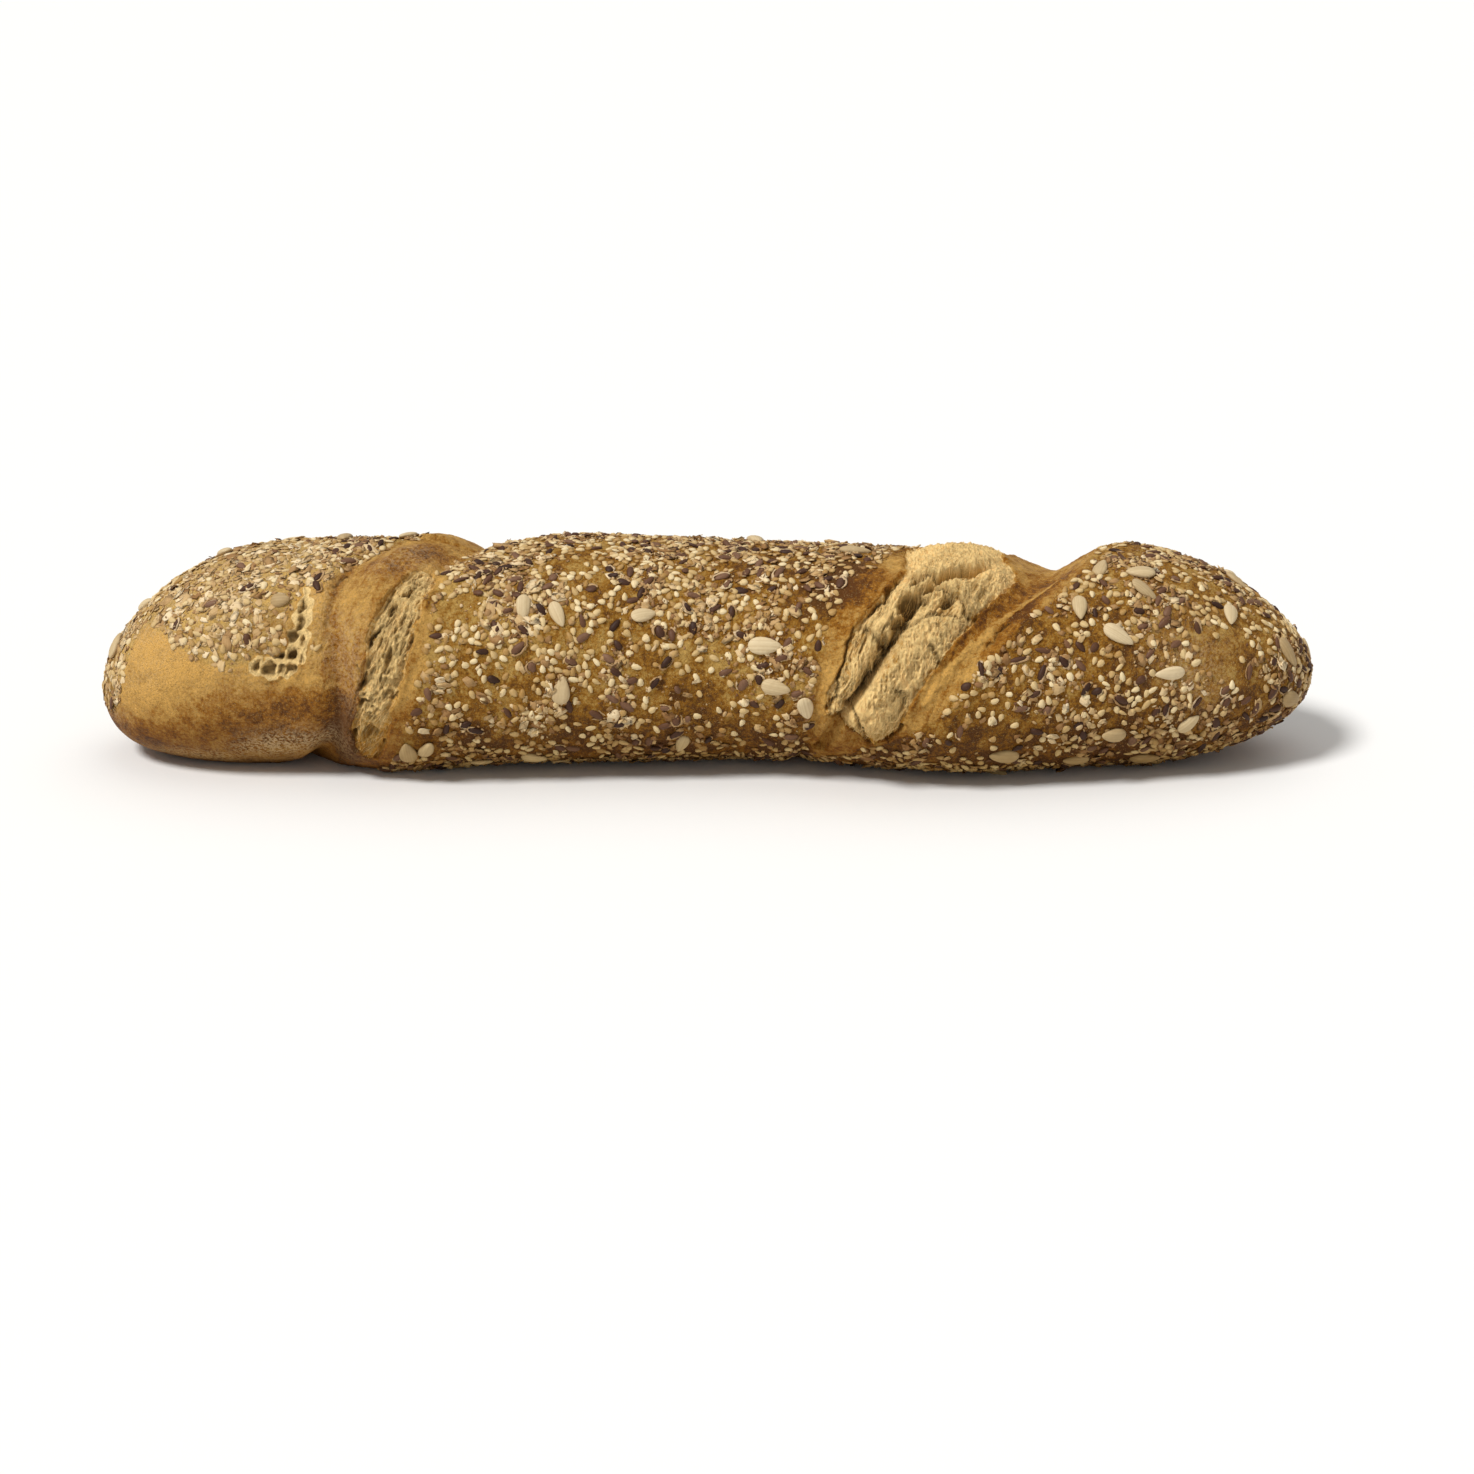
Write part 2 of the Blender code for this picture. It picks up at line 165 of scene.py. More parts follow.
FOLDS = [
    FIRST_CREASE,
    SECOND_CREASE,
    THIRD_CREASE,
    VALLEY,
    BAND_RIDGE,
    LOBE_RIDGE,
    CRACK,
    STRIP_RIDGE,
]

# Burst bubbles in the torn crumb: x, angle, depth and reach.
BUBBLES = [
    (-134.5, 17.0, -1.6, 3.0),
    (-130.0, 13.0, -1.8, 3.2),
    (-125.0, 15.5, -1.8, 2.8),
    (-123.5, 26.0, -1.6, 3.4),
    (-122.0, 40.0, -1.2, 3.4),
    (-104.0, 2.0, -1.6, 2.8),
    (-101.0, -22.0, -1.8, 3.4),
    (-99.0, 20.0, -1.8, 3.2),
    (-94.0, 34.0, -1.6, 3.0),
    (62.0, 42.0, -3.6, 3.4),
    (72.5, 42.0, -4.0, 3.2),
    (80.0, 68.0, -2.6, 3.6),
    (46.0, -22.0, -2.2, 3.4),
]

# Where the crust tore open in the oven: angle, left edge and right edge.
SMALL_TEAR = [
    (-42.0, -105.5, -102.5),
    (-36.0, -107.8, -100.5),
    (-24.0, -108.2, -98.0),
    (-8.0, -106.4, -94.8),
    (10.0, -104.2, -91.0),
    (28.0, -102.0, -88.0),
    (46.0, -96.3, -85.2),
    (56.0, -92.5, -83.0),
    (62.0, -89.0, -84.5),
]
WIDE_TEAR = [
    (-23.0, 49.5, 53.0),
    (-21.0, 47.0, 55.8),
    (-18.0, 44.5, 58.2),
    (-14.0, 42.0, 60.0),
    (-8.0, 37.6, 61.0),
    (-3.0, 36.9, 61.8),
    (15.0, 41.0, 71.0),
    (28.0, 44.8, 76.5),
    (46.0, 53.0, 85.5),
    (64.0, 59.6, 92.5),
    (80.0, 62.0, 96.0),
    (105.0, 62.0, 93.0),
    (135.0, 78.0, 98.0),
    (155.0, 90.0, 98.0),
]
BACK_TEAR = [
    (128.0, -62.0, -59.0),
    (150.0, -60.0, -49.0),
    (190.0, -46.0, -30.0),
    (225.0, -30.0, -18.0),
    (245.0, -22.0, -19.0),
]
TEARS = [(SMALL_TEAR, -0.6), (WIDE_TEAR, 1.9), (BACK_TEAR, -0.4)]
TEAR_STEP = 1.8
# Fibres over each tear: tear, share of them, lean in millimetres of x for one up, and length.
FIBRE_BEDS = [(WIDE_TEAR, 0.80, 0.3, 3.6), (SMALL_TEAR, 0.10, 0.5, 4.4), (BACK_TEAR, 0.10, 0.5, 4.0)]
FIBRE_RINGS = 5

# The patch of crumb laid bare beside the first crease: x, angle and radius.
BARE_PATCH = [
    (-136.5, 12.0, 2.6),
    (-132.5, 11.0, 3.6),
    (-128.0, 12.0, 4.0),
    (-125.0, 17.0, 3.8),
    (-124.0, 25.0, 3.6),
    (-123.2, 33.0, 3.4),
    (-122.5, 41.0, 2.4),
    (-122.0, 48.0, 1.4),
]
# Open cells in the crumb: x, angle, half width, half length, lean, depth, and the darkness of the shade
# painted inside the cell.
CELLS = [
    (-137.3, 12.6, 1.3, 1.7, 0.0, -1.8, 0.8),
    (-133.4, 10.0, 2.0, 1.9, 0.0, -2.4, 0.8),
    (-130.7, 16.5, 2.2, 1.3, 0.3, -2.2, 1.0),
    (-129.6, 10.0, 0.9, 1.0, 0.0, -1.4, 0.7),
    (-126.9, 9.6, 1.9, 1.7, 0.0, -2.4, 0.7),
    (-126.4, 16.6, 1.2, 1.6, 0.2, -2.2, 1.0),
    (-123.6, 14.0, 0.8, 1.5, 0.2, -1.2, 0.5),
    (-125.8, 26.0, 1.6, 1.9, 0.4, -2.0, 0.9),
    (-123.4, 31.5, 1.0, 2.3, 0.2, -1.6, 0.8),
    (-122.9, 22.5, 0.9, 1.8, 0.1, -1.2, 0.5),
    (-123.1, 40.0, 0.9, 2.2, 0.2, -1.4, 0.8),
    (-100.4, 24.4, 0.8, 3.4, 0.5, -2.4, 0.9),
    (-94.7, 38.3, 1.0, 2.2, 0.5, -2.0, 0.8),
    (-90.8, 47.0, 1.2, 2.0, 0.5, -2.2, 0.9),
    (-88.2, 53.8, 1.4, 1.0, 0.6, -1.6, 0.6),
    (-96.4, 13.5, 0.8, 3.8, 0.3, -1.6, 0.5),
    (-104.0, 4.2, 0.9, 2.8, 0.5, -2.0, 0.8),
    (-104.1, -6.4, 1.3, 1.0, 0.4, -1.6, 0.6),
    (-108.6, -27.0, 0.8, 2.6, 0.2, -2.0, 0.9),
    (-103.2, -22.5, 1.7, 3.4, 0.3, -1.8, 0.5),
    (-96.5, -2.7, 1.3, 2.0, 0.5, -1.6, 0.6),
    (-92.6, 31.0, 0.8, 3.0, 0.5, -1.4, 0.5),
    (-99.8, 37.0, 0.7, 2.0, 0.6, -1.2, 0.5),
    (-90.0, 20.0, 0.8, 3.2, 0.5, -1.2, 0.4),
    (62.0, 45.0, 3.3, 4.0, 0.5, -3.4, 0.85),
    (67.0, 48.0, 1.6, 2.6, 0.2, -2.6, 0.8),
    (73.4, 47.0, 2.4, 1.9, 0.3, -3.0, 0.9),
    (58.4, 34.0, 1.8, 2.4, 0.6, -2.4, 0.8),
    (64.5, 57.0, 1.6, 2.0, 0.6, -1.6, 0.5),
    (53.2, 24.5, 1.4, 2.4, 0.6, -2.0, 0.7),
]

# The uneven swelling of the dough: size of the swells and how far they stand out.
SWELLS = [(46.0, 1.5, 3), (21.0, 0.7, 8)]

# Skin with no seeds on it: angle, left edge and right edge.
LEFT_BAND = [
    (-115.0, -140.0, -128.0),
    (-52.0, -119.0, -100.0),
    (-18.0, -119.0, -91.0),
    (20.0, -121.0, -84.5),
    (42.0, -120.5, -83.0),
    (62.0, -114.0, -81.5),
    (88.0, -101.0, -75.0),
    (115.0, -90.0, -69.0),
    (150.0, -78.0, -52.0),
    (200.0, -58.0, -28.0),
    (245.0, -42.0, -16.0),
    (275.0, -30.0, -12.0),
]
RIGHT_BAND = [
    (-75.0, 33.0, 35.0),
    (-45.0, 32.5, 37.0),
    (-33.0, 31.0, 48.0),
    (-22.0, 30.5, 60.0),
    (-8.0, 31.5, 70.0),
    (13.0, 35.6, 81.5),
    (40.0, 40.0, 100.0),
    (60.0, 45.0, 113.0),
    (85.0, 57.0, 120.0),
    (110.0, 64.0, 124.0),
    (150.0, 86.0, 134.0),
    (200.0, 112.0, 148.0),
    (245.0, 138.0, 160.0),
]
# The smooth lower side of the left lobe: x and the angle below which it has no seeds.
SMOOTH_SIDE = [
    (-192.0, -24.0),
    (-185.0, -12.0),
    (-180.0, 30.0),
    (-175.0, 54.0),
    (-169.0, 43.0),
    (-159.0, 25.0),
    (-142.0, 14.0),
    (-116.0, 16.0),
]
UNDERSIDE = (-128.0, -62.0)

# Thin raised walls and lips of crumb, and the ridge by the right strip: height, half width, then
# x and angle of their points.
LIPS = [
    (0.8, 1.3, [(108.0, 65.0), (102.0, 57.0), (93.0, 43.0), (84.0, 29.0), (74.0, 14.0), (66.0, -2.0)]),
    (1.7, 0.7, [(36.6, -9.0), (40.6, -5.3), (44.5, -10.3), (46.7, -17.7), (50.0, -27.5)]),
    (1.3, 0.6, [(50.9, -26.5), (56.0, -21.7), (59.7, -12.0), (60.8, -4.0)]),
    (1.0, 0.6, [(43.5, 26.0), (46.7, 35.7), (50.4, 42.1), (56.0, 54.0)]),
    (0.9, 0.5, [(39.6, -2.0), (42.6, 14.0), (45.4, 27.0)]),
    (1.1, 0.5, [(-97.0, 46.0), (-99.2, 40.0), (-101.8, 29.0), (-103.0, 18.0), (-104.8, 10.0)]),
    (0.9, 0.45, [(-104.8, 10.0), (-106.2, 0.0), (-107.9, -7.0), (-109.9, -18.0), (-110.6, -28.0)]),
    (0.9, 0.5, [(-110.6, -28.0), (-109.0, -35.0), (-106.0, -38.0), (-103.5, -36.5)]),
    (0.8, 0.5, [(-92.6, 55.5), (-89.5, 60.0), (-85.5, 60.5), (-83.0, 58.0)]),
    (1.3, 0.35, [(-105.6, -1.5), (-102.2, -7.0), (-98.6, -7.4), (-95.8, -1.8), (-93.6, 0.5)]),
    (1.2, 0.35, [(-97.0, 25.0), (-97.8, 16.0), (-97.3, 6.5), (-94.2, 6.5)]),
    (1.0, 0.4, [(-89.2, 46.0), (-92.0, 37.0), (-94.2, 23.5), (-94.0, 6.5)]),
    (1.2, 0.35, [(-106.3, -38.0), (-106.5, -19.0), (-104.8, -12.0), (-102.0, -9.6)]),
    (0.9, 0.4, [(-85.8, 51.0), (-87.5, 37.0), (-89.7, 23.5), (-91.6, 9.0)]),
    (0.8, 0.3, [(-101.6, 30.0), (-97.2, 36.5), (-95.2, 43.0)]),
    (0.5, 0.3, [(-137.6, 8.0), (-135.1, 5.0), (-131.2, 5.6), (-128.7, 7.8), (-125.7, 6.2), (-123.8, 10.6)]),
    (
        0.5, 0.3,
        [(-123.8, 10.6), (-123.5, 17.0), (-121.6, 20.8),
         (-121.2, 29.0), (-122.1, 37.0), (-123.2, 49.0)],
    ),
]
# Fine grooves in the skin: depth, half width, then x and angle of their points.
GROOVES = [
    (-1.0, 0.35, [(92.5, 37.0), (90.0, 34.0), (88.3, 30.0), (85.0, 24.0)]),
    (-0.9, 0.6, [(-77.5, 77.0), (-75.0, 82.0), (-71.5, 91.0)]),
    (-1.2, 0.6, [(-110.4, 62.0), (-112.0, 56.0), (-113.5, 51.0)]),
    (-0.7, 1.3, [(-107.0, 78.0), (-111.5, 62.0), (-114.5, 45.0), (-115.5, 30.0)]),
    (-1.8, 0.45, [(44.8, 30.0), (41.8, 14.5), (38.8, -4.4)]),
    (-1.6, 0.6, [(42.6, -3.0), (46.0, -9.0), (48.4, -18.0), (51.0, -26.5), (55.5, -24.0), (59.5, -14.0)]),
    (-1.3, 0.6, [(49.5, 38.0), (54.1, 46.0), (58.8, 61.0)]),
    (-1.0, 0.4, [(-105.3, 12.0), (-105.6, 2.0), (-106.8, -4.0)]),
]
# Flaps of crumb that overlap, raised on the left of the line: height, reach and their points.
FLAPS = [
    (3.0, 4.5, [(61.5, 63.0), (66.0, 59.0), (70.5, 60.0), (75.0, 65.0), (80.5, 71.0), (87.0, 78.0)]),
    (2.6, 4.5, [(64.0, 56.0), (70.9, 55.0), (76.5, 50.5), (79.5, 43.0), (81.5, 38.0)]),
    (1.6, 4.0, [(78.3, 37.0), (70.9, 38.5), (65.3, 34.0), (59.7, 31.6), (55.1, 21.5), (51.4, 15.8)]),
    (1.2, 5.0, [(51.4, 15.8), (48.6, 6.5), (45.8, -1.6), (44.2, -7.5)]),
    (1.7, 2.6, [(43.5, -2.5), (47.5, 6.0), (48.4, 11.0), (51.6, 12.5), (51.2, 19.0)]),
    (1.6, 3.0, [(47.5, 33.0), (51.4, 27.0), (54.1, 22.6), (58.0, 27.0)]),
    (1.4, 2.4, [(66.0, 27.0), (70.0, 22.0), (72.5, 14.0)]),
    (1.2, 2.4, [(56.0, 8.0), (61.0, 2.0), (60.5, -8.0)]),
]
# Darker and lighter bakes of the skin: x, angle, reach along, reach round and amount.
BAKES = [
    (44.0, 58.0, 11.0, 26.0, 0.50),
    (28.0, 52.0, 22.0, 26.0, 0.30),
    (104.0, 66.0, 15.0, 22.0, 0.30),
    (90.0, 38.0, 10.0, 22.0, 0.34),
    (-88.0, 78.0, 13.0, 14.0, 0.36),
    (-98.0, 56.0, 9.0, 12.0, 0.16),
    (-150.0, -10.0, 26.0, 14.0, 0.22),
    (-122.0, -6.0, 14.0, 12.0, 0.22),
    (-138.0, 30.0, 14.0, 10.0, 0.22),
    (-120.0, 40.0, 5.0, 24.0, -0.22),
    (-60.0, 20.0, 36.0, 40.0, -0.10),
    (-112.5, -32.0, 6.0, 24.0, 0.62),
    (-107.0, 15.0, 8.0, 26.0, 0.16),
    (-104.0, 66.0, 12.0, 14.0, 0.14),
    (-176.0, -30.0, 12.0, 16.0, 0.20),
    (-165.0, 28.0, 22.0, 26.0, -0.26),
    (-150.0, 70.0, 36.0, 44.0, -0.22),
    (-170.0, 0.0, 12.0, 22.0, -0.16),
    (-128.0, 4.0, 14.0, 5.0, -0.26),
    (-78.0, 62.0, 8.0, 10.0, -0.24),
    (40.0, 0.0, 5.0, 30.0, -0.10),
    (130.0, 0.0, 60.0, 60.0, 0.12),
    (0.0, 180.0, 190.0, 50.0, 0.12),
]
# Lines of darker and lighter bake, among them a painted highlight and a painted crease shade: amount, half
# width, then x and angle of their points.
BAKE_AND_SHADING_LINES = [
    (0.20, 3.2, [(106.0, 72.0), (98.0, 61.0), (90.0, 48.0), (81.0, 33.0), (72.0, 17.0)]),
    # Painted highlight: a light line along the crest of the ridge by the right strip.
    (-0.34, 1.3, [(108.0, 65.0), (102.0, 57.0), (93.0, 43.0), (84.0, 29.0), (74.0, 14.0), (66.0, -2.0)]),
    (-0.20, 1.6, [(60.5, 84.0), (57.0, 60.0), (48.5, 38.0), (41.0, 16.0), (35.0, -8.0)]),
    (0.22, 2.0, [(114.0, 84.0), (109.0, 66.0), (100.0, 51.0), (91.0, 37.0)]),
    # Painted shade: a dark line down the top of the first crease.
    (0.25, 1.4, [(-104.0, 84.0), (-110.0, 66.0), (-114.5, 48.0)]),
    (-0.22, 2.0, [(-88.0, 66.0), (-82.0, 66.0), (-76.0, 70.0)]),
]
# Where the coat of seeds is thin, and where it is thick: x, angle, reaches and amount.
THIN_COAT = [
    (156.0, 14.0, 14.0, 26.0, 0.95),
    (14.0, -24.0, 22.0, 20.0, 0.85),
    (-38.0, -16.0, 14.0, 14.0, 0.60),
    (-4.0, 2.0, 14.0, 16.0, 0.70),
    (118.0, -2.0, 12.0, 12.0, 0.70),
    (84.0, -22.0, 10.0, 12.0, 0.80),
    (-12.0, 58.0, 50.0, 20.0, -0.35),
    (98.0, 14.0, 12.0, 12.0, -0.60),
    (-86.0, -48.0, 24.0, 9.0, -0.50),
    (134.0, 66.0, 24.0, 14.0, -0.40),
]
# Flour left on the skin: x, angle, reach along, reach round and amount.
DUSTINGS = [
    (-128.0, -36.0, 15.0, 11.0, 1.6),
    (-150.0, -48.0, 28.0, 11.0, 1.2),
    (-186.0, -12.0, 8.0, 14.0, 0.55),
    (150.0, 6.0, 8.0, 16.0, 0.45),
    (-94.0, 76.0, 12.0, 16.0, 0.42),
    (108.0, 62.0, 8.0, 12.0, 0.16),
    (-109.0, 14.0, 7.0, 26.0, 0.34),
    (150.0, 24.0, 14.0, 22.0, 0.22),
    (-152.0, 66.0, 38.0, 50.0, 0.50),
    (0.0, 240.0, 190.0, 16.0, 0.35),
]

# Sunflower kernels on the shown side: x, angle, and the turn of the long way, tip last.
KERNELS = [
    (-185.0, 65.0, 70.0),
    (-130.0, 43.0, -4.0),
    (-92.0, -35.0, 95.0),
    (-86.0, -32.0, 70.0),
    (-70.0, -49.0, 3.0),
    (-55.5, 38.0, -95.0),
    (-53.5, -44.0, -8.0),
    (-45.0, 34.0, -70.0),
    (-44.0, 0.0, 80.0),
    (-19.0, 33.0, 12.0),
    (-7.5, -31.0, -105.0),
    (18.0, 20.0, 2.0),
    (21.5, 2.0, -8.0),
    (30.5, -7.0, -75.0),
    (46.5, 95.0, 5.0),
    (91.5, -32.0, 172.0),
    (114.0, 43.0, -95.0),
    (114.5, -41.0, 178.0),
    (122.0, 71.0, 60.0),
    (125.0, -21.0, 170.0),
    (125.5, 28.0, -35.0),
    (134.0, 65.0, 176.0),
    (134.5, 52.0, -35.0),
    (136.5, -44.0, 3.0),
    (141.5, 10.0, 185.0),
    (148.5, -18.0, 45.0),
    (161.5, 45.0, -98.0),
    (180.5, 30.0, -50.0),
    (182.0, -14.0, -20.0),
]


def curve(points, at):
    """A smooth curve through (place, value) points, level past both of its ends."""
    places, values = np.array(points, float).T
    slopes = np.gradient(values, places)
    at = np.clip(at, places[0], places[-1])
    i = np.clip(np.searchsorted(places, at) - 1, 0, len(places) - 2)
    span = places[i + 1] - places[i]
    t = (at - places[i]) / span
    rise = values[i] * (1 + 2 * t) * (1 - t) ** 2 + values[i + 1] * t * t * (3 - 2 * t)
    lean = slopes[i] * t * (1 - t) ** 2 + slopes[i + 1] * t * t * (t - 1)
    return rise + lean * span


def column(table, index):
    return [(row[0], row[index]) for row in table]


def smooth_step(low, high, value):
    t = np.clip((value - low) / (high - low), 0, 1)
    return t * t * (3 - 2 * t)


def mixed_number(mixed):
    """A number from -1 to 1 for each whole number, with no pattern from one to the next."""
    mixed = mixed & 0xFFFFFFFF
    mixed = ((mixed ^ (mixed >> 13)) * 1274126177) & 0xFFFFFFFF
    return ((mixed ^ (mixed >> 16)) & 0xFFFF) / 32767.5 - 1.0


def lattice_value(cells, seed):
    mixed = cells[..., 0] * 374761393 + cells[..., 1] * 668265263 + cells[..., 2] * 2147483647
    return mixed_number(mixed + seed * 1274126177)


def swell(places, size, seed):
    """Smooth noise of the given grain size at each place in space."""
    scaled = places / size
    cells = np.floor(scaled).astype(np.int64)
    share = scaled - cells
    share = share * share * (3 - 2 * share)
    total = np.zeros(len(places))
    for corner in np.ndindex(2, 2, 2):
        offset = np.array(corner)
        weight = np.prod(np.where(offset == 1, share, 1 - share), axis=1)
        total += weight * lattice_value(cells + offset, seed)
    return total


def corner_value(column_at, row_at, seed):
    return mixed_number(column_at * 374761393 + row_at * 668265263 + seed * 974634777)


def ripple(u, v, seed):
    """Smooth noise over a flat sheet, with one swell for each unit of u and of v."""
    column_at = np.floor(u).astype(np.int64)
    row_at = np.floor(v).astype(np.int64)
    a = u - column_at
    b = v - row_at
    a = a * a * (3 - 2 * a)
    b = b * b * (3 - 2 * b)
    near = corner_value(column_at, row_at, seed) * (1 - a)
    near += corner_value(column_at + 1, row_at, seed) * a
    far = corner_value(column_at, row_at + 1, seed) * (1 - a)
    far += corner_value(column_at + 1, row_at + 1, seed) * a
    return near * (1 - b) + far * b


def threads(u, v, seed):
    """Sharp ridges over a flat sheet, 1 on a ridge and falling to 0 between ridges."""
    first = 1 - np.abs(ripple(u, v, seed))
    second = 1 - np.abs(ripple(u * 2.1 + 7.3, v * 1.9 + 2.7, seed + 1))
    return first**2 * 0.65 + second**2 * 0.35


def cell_walls(u, v, seed):
    """How far inside an uneven cell a place is, and a number from 0 to 1 for its cell."""
    column_at = np.floor(u).astype(np.int64)
    row_at = np.floor(v).astype(np.int64)
    nearest = np.full(u.shape, 9.0)
    second = np.full(u.shape, 9.0)
    own = np.zeros(u.shape)
    for i, j in ((i, j) for i in (-1, 0, 1) for j in (-1, 0, 1)):
        middle_u = column_at + i + 0.5 + 0.42 * corner_value(column_at + i, row_at + j, seed)
        middle_v = row_at + j + 0.5 + 0.42 * corner_value(column_at + i, row_at + j, seed + 5)
        away = np.hypot(u - middle_u, v - middle_v)
        closer = away < nearest
        second = np.where(closer, nearest, np.minimum(second, away))
        own = np.where(closer, corner_value(column_at + i, row_at + j, seed + 9), own)
        nearest = np.minimum(nearest, away)
    return second - nearest, own * 0.5 + 0.5


def turns_of(angle):
    """The same angle on the turn before and after, as a line may run past a whole turn."""
    return (angle - 360.0, angle, angle + 360.0)


def fold_height(table, x, angle):
    total = np.zeros_like(x)
    for turn in turns_of(angle):
        there = (turn >= table[0][0]) & (turn <= table[-1][0])
        away = (x - curve(column(table, 1), turn)) / curve(column(table, 3), turn)
        total += np.where(there, curve(column(table, 2), turn) * np.exp(-(away**2)), 0)
    return total


def signed(angle):
    """The same angle, from -180 to 180."""
    return (angle + 180.0) % 360.0 - 180.0


def round_way(angle, middle):
    """Millimetres round the loaf from one angle to another, the short way."""
    return signed(angle - middle) * RUN


def bubble_depth(bubble, x, angle):
    place, height_angle, depth, reach = bubble
    away = (x - place) ** 2 + round_way(angle, height_angle) ** 2
    return depth * np.exp(-away / reach**2)


def edge_wander(x, angle):
    """How far a torn edge strays from its smooth line."""
    run = angle * RUN
    wander = 1.1 * ripple(run / 5.5, x / 19.0, 41) + 0.6 * ripple(run / 1.9, x / 17.0, 42)
    return wander + 0.25 * ripple(run / 0.8, x / 15.0, 43)


def edges_at(table, angle):
    """x of the left and of the right edge of a tear or a band."""
    return curve(column(table, 1), angle), curve(column(table, 2), angle)


def inside_tear(table, x, angle):
    """Millimetres from a place in the tear to its nearest edge, negative outside it."""
    depth = np.full(x.shape, FAR_OUTSIDE)
    for turn in turns_of(angle):
        left, right = edges_at(table, turn)
        wander = edge_wander(x, turn)
        near = np.minimum(x - left - wander, right - x + wander * 0.8)
        near = np.minimum(near, (turn - table[0][0]) * RUN)
        near = np.minimum(near, (table[-1][0] - turn) * RUN)
        depth = np.maximum(depth, near)
    return depth


def tear_depth(table, x, angle, bulge):
    """The step down from the crust to the torn crumb, and the crumb's own bulge."""
    total = np.zeros_like(x)
    for turn in turns_of(angle):
        there = (turn >= table[0][0]) & (turn <= table[-1][0])
        left, right = edges_at(table, turn)
        half = np.maximum((right - left) / 2, 0.5)
        across = (x - (left + right) / 2) / half
        middle = np.clip(1 - across**2, 0, 1)
        total += np.where(there, (bulge + TEAR_STEP) * middle, 0)
    return total - TEAR_STEP * smooth_step(-0.5, 0.7, inside_tear(table, x, angle))


def inside_cells(x, angle):
    """Millimetres inside the patch of bare cells, negative outside it."""
    depth = np.full(x.shape, FAR_OUTSIDE)
    for place, height_angle, radius in BARE_PATCH:
        away = np.hypot(x - place, round_way(angle, height_angle))
        depth = np.maximum(depth, radius - away)
    return depth + 0.8 * ripple(x / 1.8, angle * RUN / 1.8, 47)


def strayed(x, angle):
    """Places moved a little, so that what is drawn with them looks torn by hand."""
    run = angle * RUN
    stray_x = x + 0.7 * ripple(x / 2.5, run / 2.5, 51) + 0.3 * ripple(x / 0.9, run / 0.9, 53)
    return stray_x, run + 0.7 * ripple(x / 2.3, run / 2.3, 52) + 0.3 * ripple(x / 0.8, run / 0.8, 54)


def to_line(points, x, run):
    """Millimetres to a line drawn on the skin, its left side positive, and to its ends."""
    corners = np.array(points) * (1.0, RUN)
    ways = np.diff(corners, axis=0)
    lengths = np.hypot(*ways.T)
    before = np.concatenate([[0.0], np.cumsum(lengths)])
    away = np.full(x.shape, 99.0)
    to_end = np.zeros(x.shape)
    for start, way, length, passed in zip(corners, ways, lengths, before):
        off_x, off_run = x - start[0], run - start[1]
        reach = np.clip((off_x * way[0] + off_run * way[1]) / length, 0, length)
        gone_x = off_x - way[0] * reach / length
        gone_run = off_run - way[1] * reach / length
        side = np.where(way[0] * off_run - way[1] * off_x >= 0, 1.0, -1.0)
        here = side * np.hypot(gone_x, gone_run)
        closer = np.abs(here) < np.abs(away)
        away = np.where(closer, here, away)
        to_end = np.where(closer, np.minimum(passed + reach, before[-1] - passed - reach), to_end)
    return away, to_end


def line_height(lines, x, angle):
    """Height of thin lines drawn on the skin through points of x and angle."""
    total = np.zeros_like(x)
    stray_x, stray_run = strayed(x, angle)
    for height, half_width, points in lines:
        away, _ = to_line(points, stray_x, stray_run)
        line = height * np.exp(-((away / half_width) ** 2))
        total = np.where(np.abs(line) > np.abs(total), line, total)
    return total


def flap_height(x, angle):
    """Height of the flaps of crumb, and the shade painted under their edges."""
    total = np.zeros_like(x)
    painted_shade = np.zeros_like(x)
    stray_x, stray_run = strayed(x, angle)
    for height, reach, points in FLAPS:
        away, to_end = to_line(points, stray_x, stray_run)
        fade = smooth_step(0.0, 2.5, to_end)
        step = smooth_step(-0.3, 0.4, away) * np.exp(-np.maximum(away, 0.0) / reach)
        under = np.exp(-(((away + 0.7) / 0.8) ** 2))
        total = total + height * fade * (step - 0.5 * under)
        # Painted shade: a dark band just under the raised edge of each flap.
        painted_shade = np.maximum(painted_shade, fade * under)
    return total, painted_shade


def cell_depth(x, angle):
    """Depth of the open cells of the crumb, and the painted shade inside them."""
    total = np.zeros_like(x)
    painted_shade = np.zeros_like(x)
    stray_x, stray_run = strayed(x, angle)
    for place, height_angle, half_width, half_length, lean, depth, shade in CELLS:
        up = stray_run - height_angle * RUN
        share = np.hypot((stray_x - place - lean * up) / half_width, up / half_length)
        inside = smooth_step(1.12, 0.72, share)
        total = total + depth * inside + 0.3 * np.exp(-(((share - 1.25) / 0.2) ** 2))
        # Painted shade: each cell is darkened inside by its darkness value.
        painted_shade = np.maximum(painted_shade, shade * inside)
    return total, painted_shade


def blots(table, x, angle):
    """Soft blots on the skin, each with its own amount."""
    total = np.zeros_like(x)
    for place, height_angle, reach_x, reach_angle, amount in table:
        away = ((x - place) / reach_x) ** 2 + (signed(angle - height_angle) / reach_angle) ** 2
        total += amount * np.exp(-away)
    return total


def in_band(table, x, angle):
    """Millimetres inside a band, negative outside it."""
    depth = np.full(x.shape, FAR_OUTSIDE)
    for turn in turns_of(angle):
        left, right = edges_at(table, turn)
        near = np.minimum(x - left, right - x)
        near = np.where((turn >= table[0][0]) & (turn <= table[-1][0]), near, FAR_OUTSIDE)
        depth = np.maximum(depth, near)
    return depth


